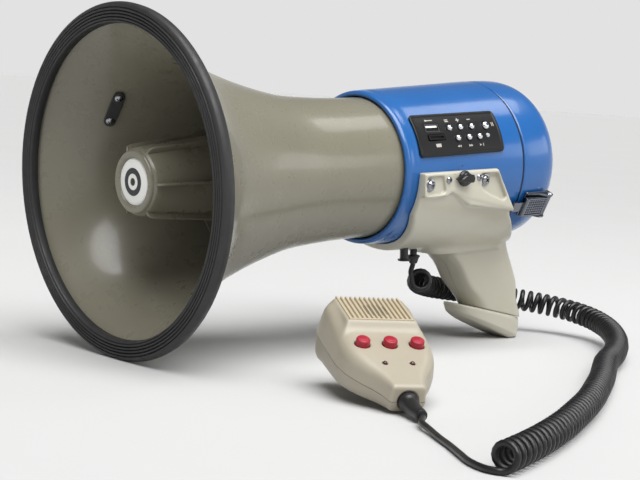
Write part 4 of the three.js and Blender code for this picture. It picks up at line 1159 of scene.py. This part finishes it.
def studs(t0, t1, z0, z1, pitch, low, high):
    """A sheet of small pyramids, the raised pattern of the levers."""
    rows, columns = round((t1 - t0) / pitch), round((z1 - z0) / pitch)
    vertices, faces = [], []
    for i in range(rows + 1):
        for k in range(columns + 1):
            vertices.append((low, t0 + i * (t1 - t0) / rows, z0 + k * (z1 - z0) / columns))
    for i in range(rows):
        for k in range(columns):
            a = i * (columns + 1) + k
            b, c, d = a + 1, a + columns + 2, a + columns + 1
            tip = len(vertices)
            vertices.append((high, t0 + (i + 0.5) * (t1 - t0) / rows, z0 + (k + 0.5) * (z1 - z0) / columns))
            faces += [(a, b, tip), (b, c, tip), (c, d, tip), (d, a, tip)]
    return vertices, faces


def make_latch(side):
    where = radial(LATCH_ANGLES[side])
    flat = softened([(324, -10.4), (349.6, -10.4), (349.6, 10.4), (324, 10.4)], 2.2)
    cheek = softened([
        (60.8, 325.5), (62.2, 325), (63.2, 338), (66.2, 344.2), (66.4, 348), (65.2, 349.4), (60.8, 349.4),
    ], 1)
    base = [upright_prism(flat, 60.1, 61.4), *(prism(cheek, low, low + 1.6) for low in (-10, 8.4))]
    piece(f"latch_{side}_base", together(*base), where, LATCH_CHROME, [f"latch_base_{side}"],
          body="rear_cover", bevel=0.3)
    for end, z, turn in (("a", -10.047, DOWN_Z), ("b", 10.047, ALONG_Z)):
        rivet = lathe([(0, 0.9), (1.1, 0.7), (1.7, 0), (0, -0.4)], 24)
        rivet = turned_shape(rivet, Matrix.Translation((*LATCH_PIVOT, z)) @ turn)
        piece(f"latch_{side}_rivet_{end}", rivet, where, CHROME, body="rear_cover")
    hinge = where @ Matrix.Translation((*LATCH_PIVOT, 0))
    barrel = lathe([(0, -7.9), (1.9, -7.9), (2.1, -7.6), (2.1, 7.6), (1.9, 7.9), (0, 7.9)], 32)
    side_view = softened([
        (-1.2, -23.8), (-1.2, 0), (0.9, 0), (0.9, -20.2), (2.6, -22), (2.4, -24), (0.6, -24.4),
    ], 0.5)
    tongue = box(-1.5, 0.5, -34.2, -23, -3.9, 3.9)
    rails = [box(0.8, 2, -21, -2.4, z, z + 1.1) for z in (-7.6, 6.5)]
    lever = together(turned_shape(barrel, ALONG_Z), prism(side_view, -7.7, 7.7), tongue, *rails)
    piece(f"latch_{side}_lever", lever, hinge, LATCH_CHROME, [f"latch_lever_{side}"],
          body=f"{side}_latch", bevel=0.2)
    pattern = piece(f"latch_{side}_studs", studs(-20.4, -2.4, -6.3, 6.3, 2.1, 0.88, 2.2), hinge,
                    LATCH_CHROME, body=f"{side}_latch")
    for face in pattern.data.polygons:
        face.use_smooth = False


# ---------- hand microphone ----------

MIC_PLAN = [                     # half width at each place along it
    (-100, 26.4), (-92, 29.4), (-78, 30), (-58, 30), (-44, 29.5), (-34, 27.2), (-24, 22.3), (-14, 16),
    (-6, 12.4), (0, 11),
]
MIC_BACK = [                     # depth behind the seam at each place
    (-100, 15), (-92, 17.5), (-78, 16), (-58, 14), (-34, 11.5), (-14, 9.4), (0, 8),
]
FACE_RISE = 0.139                # the key plate climbs towards the grille
FACE_AT_NECK = 9.9
MIC_FACE_LEAN = math.radians(8)
MIC_BUTTONS = [(-43.5, y, 15.9) for y in (-17, 0, 17)]
MIC_LEDS = [(-24, y, 13.5) for y in (-8.5, 8.5)]
GRILLE = {"front": -62.8, "back": -94.6, "half": 20.3, "top": 23.5, "ribs": 14}


def mic_surface():
    field = Field((-102, -32, -20), (2, 32, 26), 0.55)
    x, y, z = field.x, field.y, field.z
    half = eased(x, *zip(*MIC_PLAN))
    slope = np.gradient(half.ravel(), field.step).reshape(half.shape)
    lean = 0.12 * np.maximum(z, 0) + 0.1 * np.maximum(-z, 0)
    sides = (np.abs(y) - half + lean) / np.sqrt(1 + slope ** 2)
    front_end = x + 0.05 * np.abs(z)
    back_end = -100 + 0.34 * np.maximum(z - 6, 0) - x
    outline = kept(sides, back_end, 7)
    outline = kept(outline, front_end, 1.6)

    face = z - (FACE_AT_NECK - FACE_RISE * x)
    round_over = np.interp(x, (-50, -22, 0), (9, 6.5, 2.5))
    lower = kept(outline, face, round_over)
    block_side = np.abs(y) - 21.6 - 0.55 * (GRILLE["top"] - z)
    ramp = (x - GRILLE["front"] - 0.8 - 0.85 * (GRILLE["top"] - z)) * 0.76
    block = kept(kept(block_side * 0.87, ramp, 1.6), z - GRILLE["top"] + 0.5, 1.2)
    block = kept(kept(block, back_end, 3), sides, 6)
    body = merged(lower, block, 2.2)
    body = kept(body, -z - eased(x, *zip(*MIC_BACK)), 7)

    bed = np.maximum(np.maximum(GRILLE["back"] - 12 - x, x - GRILLE["front"] - 0.1),
                     np.maximum(np.abs(y) - GRILLE["half"] - 0.15, 21.5 - z))
    body = without(body, bed, 0.4)
    across, along = np.cos(MIC_FACE_LEAN), np.sin(MIC_FACE_LEAN)
    for places, radius, depth, soft in ((MIC_BUTTONS, 4.75, 4, 0.5), (MIC_LEDS, 1.75, 3, 0.4)):
        for hole_x, hole_y, hole_z in places:
            u = (x - hole_x) * across - (z - hole_z) * along
            hole = np.maximum(np.hypot(u, y - hole_y) - radius, hole_z - depth - z)
            body = without(body, hole, soft)
    socket = np.maximum(np.hypot(y, z - 0.5) - 6.5, -1.2 - x)
    body = without(body, socket, 0.5)
    return field.surface(body.astype(np.float32), 8)


MIC_SEAM = 0.17 * MM             # the same


def make_mic_shells():
    shape = mic_surface()
    out = (HAND.to_3x3() @ Vector((0, 0, 1))).normalized()
    for end, sign in (("front", 1), ("back", -1)):
        shell = piece(f"mic_{end}_half", shape, HAND, CREAM, [f"mic_{end}_shell"],
                      body="handset")
        halved(shell, HAND.translation + out * sign * MIC_SEAM, out * sign)


RIB_RINGS = [(-95.3, 0.6), (-94.9, 0.95), (-94.2, 1), (-64, 1), (-63.4, 1)]     # place, share of section
RIB_FOOT = 21.9
SLOT_MIDDLE, SLOT_REACH = -78, 8.4       # of the round patch of slots


def make_mic_grille():
    half, ribs = GRILLE["half"], GRILLE["ribs"]
    pitch = (2 * half - 1.2) / (ribs - 1)
    bars, slots = [box(GRILLE["back"] + 0.4, GRILLE["front"], -half, half, 21.6, 22.1)], []
    section = softened([(-0.85, RIB_FOOT), (-0.62, 23.5), (0.62, 23.5), (0.85, RIB_FOOT)], 0.45, steps=3)
    for k in range(ribs):
        y = -half + 0.6 + k * pitch
        bars.append(loft([[(x, y + a * s, RIB_FOOT + (b - RIB_FOOT) * s) for a, b in section]
                          for x, s in RIB_RINGS]))
        middle = y + pitch / 2
        if k < ribs - 1 and abs(middle) < SLOT_REACH:
            reach = math.sqrt(SLOT_REACH ** 2 - middle ** 2)
            slots.append(box(SLOT_MIDDLE - reach, SLOT_MIDDLE + reach, middle - 0.36, middle + 0.36,
                             RIB_FOOT, RIB_FOOT + 0.35))
    lip = softened([
        (-63.9, 21.6), (-63.9, 23.1), (-63.5, 23.5), (-62.9, 23.4), (-62.7, 22.8), (-62.7, 21.6),
    ], 0.2)
    cross = turned_shape(prism(lip, -half, half), ALONG_Z)
    piece("mic_grille_bars", together(*bars, cross), HAND, GRILLE_CREAM, ["mic_grille"],
          body="handset")
    piece("mic_grille_slots", together(*slots), HAND, KNOB_BLACK, body="handset")


def make_mic_keys():
    cap = [
        (0, -6), (2, -6), (2, -4), (4.7, -4), (4.7, -3.3), (4.3, -3.2), (4.3, 2.7), (4.15, 3.3),
        (3.7, 3.75), (3.2, 3.85), (2.6, 3.9), (1.6, 4.15), (0, 4.25),
    ]
    lamp = [(0, -5), (1.4, -5), (1.4, -0.1), (1.25, 0.35), (0.8, 0.65), (0, 0.75)]
    lean = Matrix.Rotation(MIC_FACE_LEAN, 4, "Y") @ ALONG_Z
    for i, place in enumerate(MIC_BUTTONS):
        piece(f"mic_key_cap_{i + 1}", soft_lathe(cap, 0.3, 56), HAND @ Matrix.Translation(place) @ lean,
              CRIMSON, [f"mic_button_{i + 1}"], body=f"handset_key_{i + 1}")
    for i, place in enumerate(MIC_LEDS):
        piece(f"mic_lamp_{i + 1}", lathe(lamp, 28), HAND @ Matrix.Translation(place) @ lean, RED_LENS,
              [f"mic_led_{i + 1}"], body="handset")


def make_mic_hook():
    line = [
        (-90, -17.65), (-68, -15.4), (-68, -17), (-81.8, -18.45), (-83.2, -31.15), (-76, -29), (-76, -30.6),
        (-84.9, -33.25), (-83.5, -18.65), (-90, -19.3),
    ]
    strip = turned_shape(prism(softened(line, 0.8, steps=3), -9, 9), ALONG_Z)
    piece("mic_hook_strip", strip, HAND, STEEL, ["mic_hook"], body="handset", bevel=0.3)


def make_strain_relief():
    steps = [
        (-6.5, 3.8), (-1.3, 3.8), (-1.2, 5.6), (-0.9, 6.1), (2.4, 6.15), (3.6, 5.9), (4.6, 5.2), (6, 4.95),
        (10, 4.6), (14, 4.3), (18, 4.05), (21.6, 3.85), (23.2, 3.6), (24, 3.1), (24.3, 2.2), (24.4, 0.5),
    ]
    path = []
    for along, _ in steps:
        out = max(along, 0)
        path.append((along, 0, BOOT["up"] + out * math.tan(out / BOOT["length"] * MIC_TILT / 2)))
    piece("mic_cord_boot", tube(path, [radius for _, radius in steps], 40), HAND, BLACK,
          ["mic_strain_relief"], body="handset")


# ---------- floor and light ----------

FLOOR_HALF = 30                  # metres
PAPER, SHADED_PAPER = (0.53, 0.53, 0.527), (0.52, 0.52, 0.517)


def make_floor():
    mesh = bpy.data.meshes.new("floor")
    corners = rectangle(0, 0, FLOOR_HALF, FLOOR_HALF)
    mesh.from_pydata([(x, y, 0) for x, y in corners], [], [(0, 1, 2, 3)])
    n = Nodes("floor_paper")
    mesh.materials.append(n.shaded(
        Base_Color=n.mix(n.remap(n.noise(300), 0.3, 0.7, 0, 1), PAPER, SHADED_PAPER),
        Roughness=n.remap(n.noise(40), 0.3, 0.7, 0.85, 0.95),
        Specular_IOR_Level=0.1))
    linked("floor", mesh)


HORIZON_LIGHT, SKY_LIGHT = 0.76, 0.16
HORIZON_TOP = (0.06, 0.4)        # sine of the heights between which the world dims
KEY_FROM = (0.42, -0.14, 0.9)
KEY_LIGHT, KEY_WIDTH = 4.3, math.radians(58)
SOFTBOX_AIM = Vector((0, 0, 0.1))
SOFTBOXES = {                    # place, size and watts
    "top_box": ((0.1, -0.1, 1.5), (1.1, 0.7), 4),
    "side_box": ((1.5, 0.5, 0.9), (0.5, 0.9), 4),
    "rear_high_box": ((0.08, 1.05, 1.38), (0.55, 0.3), 1.7),
    "rear_low_box": ((0.75, 1.28, 0.52), (0.8, 0.35), 1.6),
}


def aimed(lamp, away):
    """Turns a lamp so that it shines against the direction given."""
    lamp.rotation_mode = "QUATERNION"
    lamp.rotation_quaternion = Vector(away).to_track_quat("Z", "Y")


def studio_world():
    """Pale at the horizon, where it meets the floor, and dimmer above."""
    world = bpy.data.worlds.new("studio")
    world.use_nodes = True
    tree = world.node_tree
    background = tree.nodes["Background"]
    direction = tree.nodes.new("ShaderNodeTexCoord").outputs["Generated"]
    parts = tree.nodes.new("ShaderNodeSeparateXYZ")
    ramp = tree.nodes.new("ShaderNodeValToRGB")
    tree.links.new(direction, parts.inputs["Vector"])
    tree.links.new(parts.outputs["Z"], ramp.inputs["Fac"])
    tree.links.new(ramp.outputs["Color"], background.inputs["Color"])
    ramp.color_ramp.elements[0].position = HORIZON_TOP[0]
    ramp.color_ramp.elements[1].position = HORIZON_TOP[1]
    for element, light in zip(ramp.color_ramp.elements, (HORIZON_LIGHT, SKY_LIGHT)):
        element.color = (light, light, light, 1)
    background.inputs["Strength"].default_value = 1
    bpy.context.scene.world = world


def make_light():
    studio_world()
    data = bpy.data.lights.new("key", "SUN")
    data.energy, data.angle = KEY_LIGHT, KEY_WIDTH
    aimed(linked("key", data), KEY_FROM)
    for name, (place, size, power) in SOFTBOXES.items():
        data = bpy.data.lights.new(name, "AREA")
        data.shape = "RECTANGLE"
        data.size, data.size_y = size
        data.energy = power
        lamp = linked(name, data)
        lamp.location = place
        aimed(lamp, Vector(place) - SOFTBOX_AIM)


# ---------- everything ----------

bpy.context.scene.view_settings.view_transform = "Standard"

make_camera()
make_cord()
make_bell()
make_rim()
make_reflex_horn()
make_badge()
dress_cad_nodes()
make_strap_fittings()
make_barrel()
make_seal()
make_cover()
make_batteries()
make_panel()
make_grip()
make_foot()
make_grip_screws()
make_selector()
make_cord_gland()
for latch_side in LATCH_ANGLES:
    make_latch(latch_side)
make_mic_shells()
make_mic_grille()
make_mic_keys()
make_mic_hook()
make_strain_relief()
make_floor()
make_light()
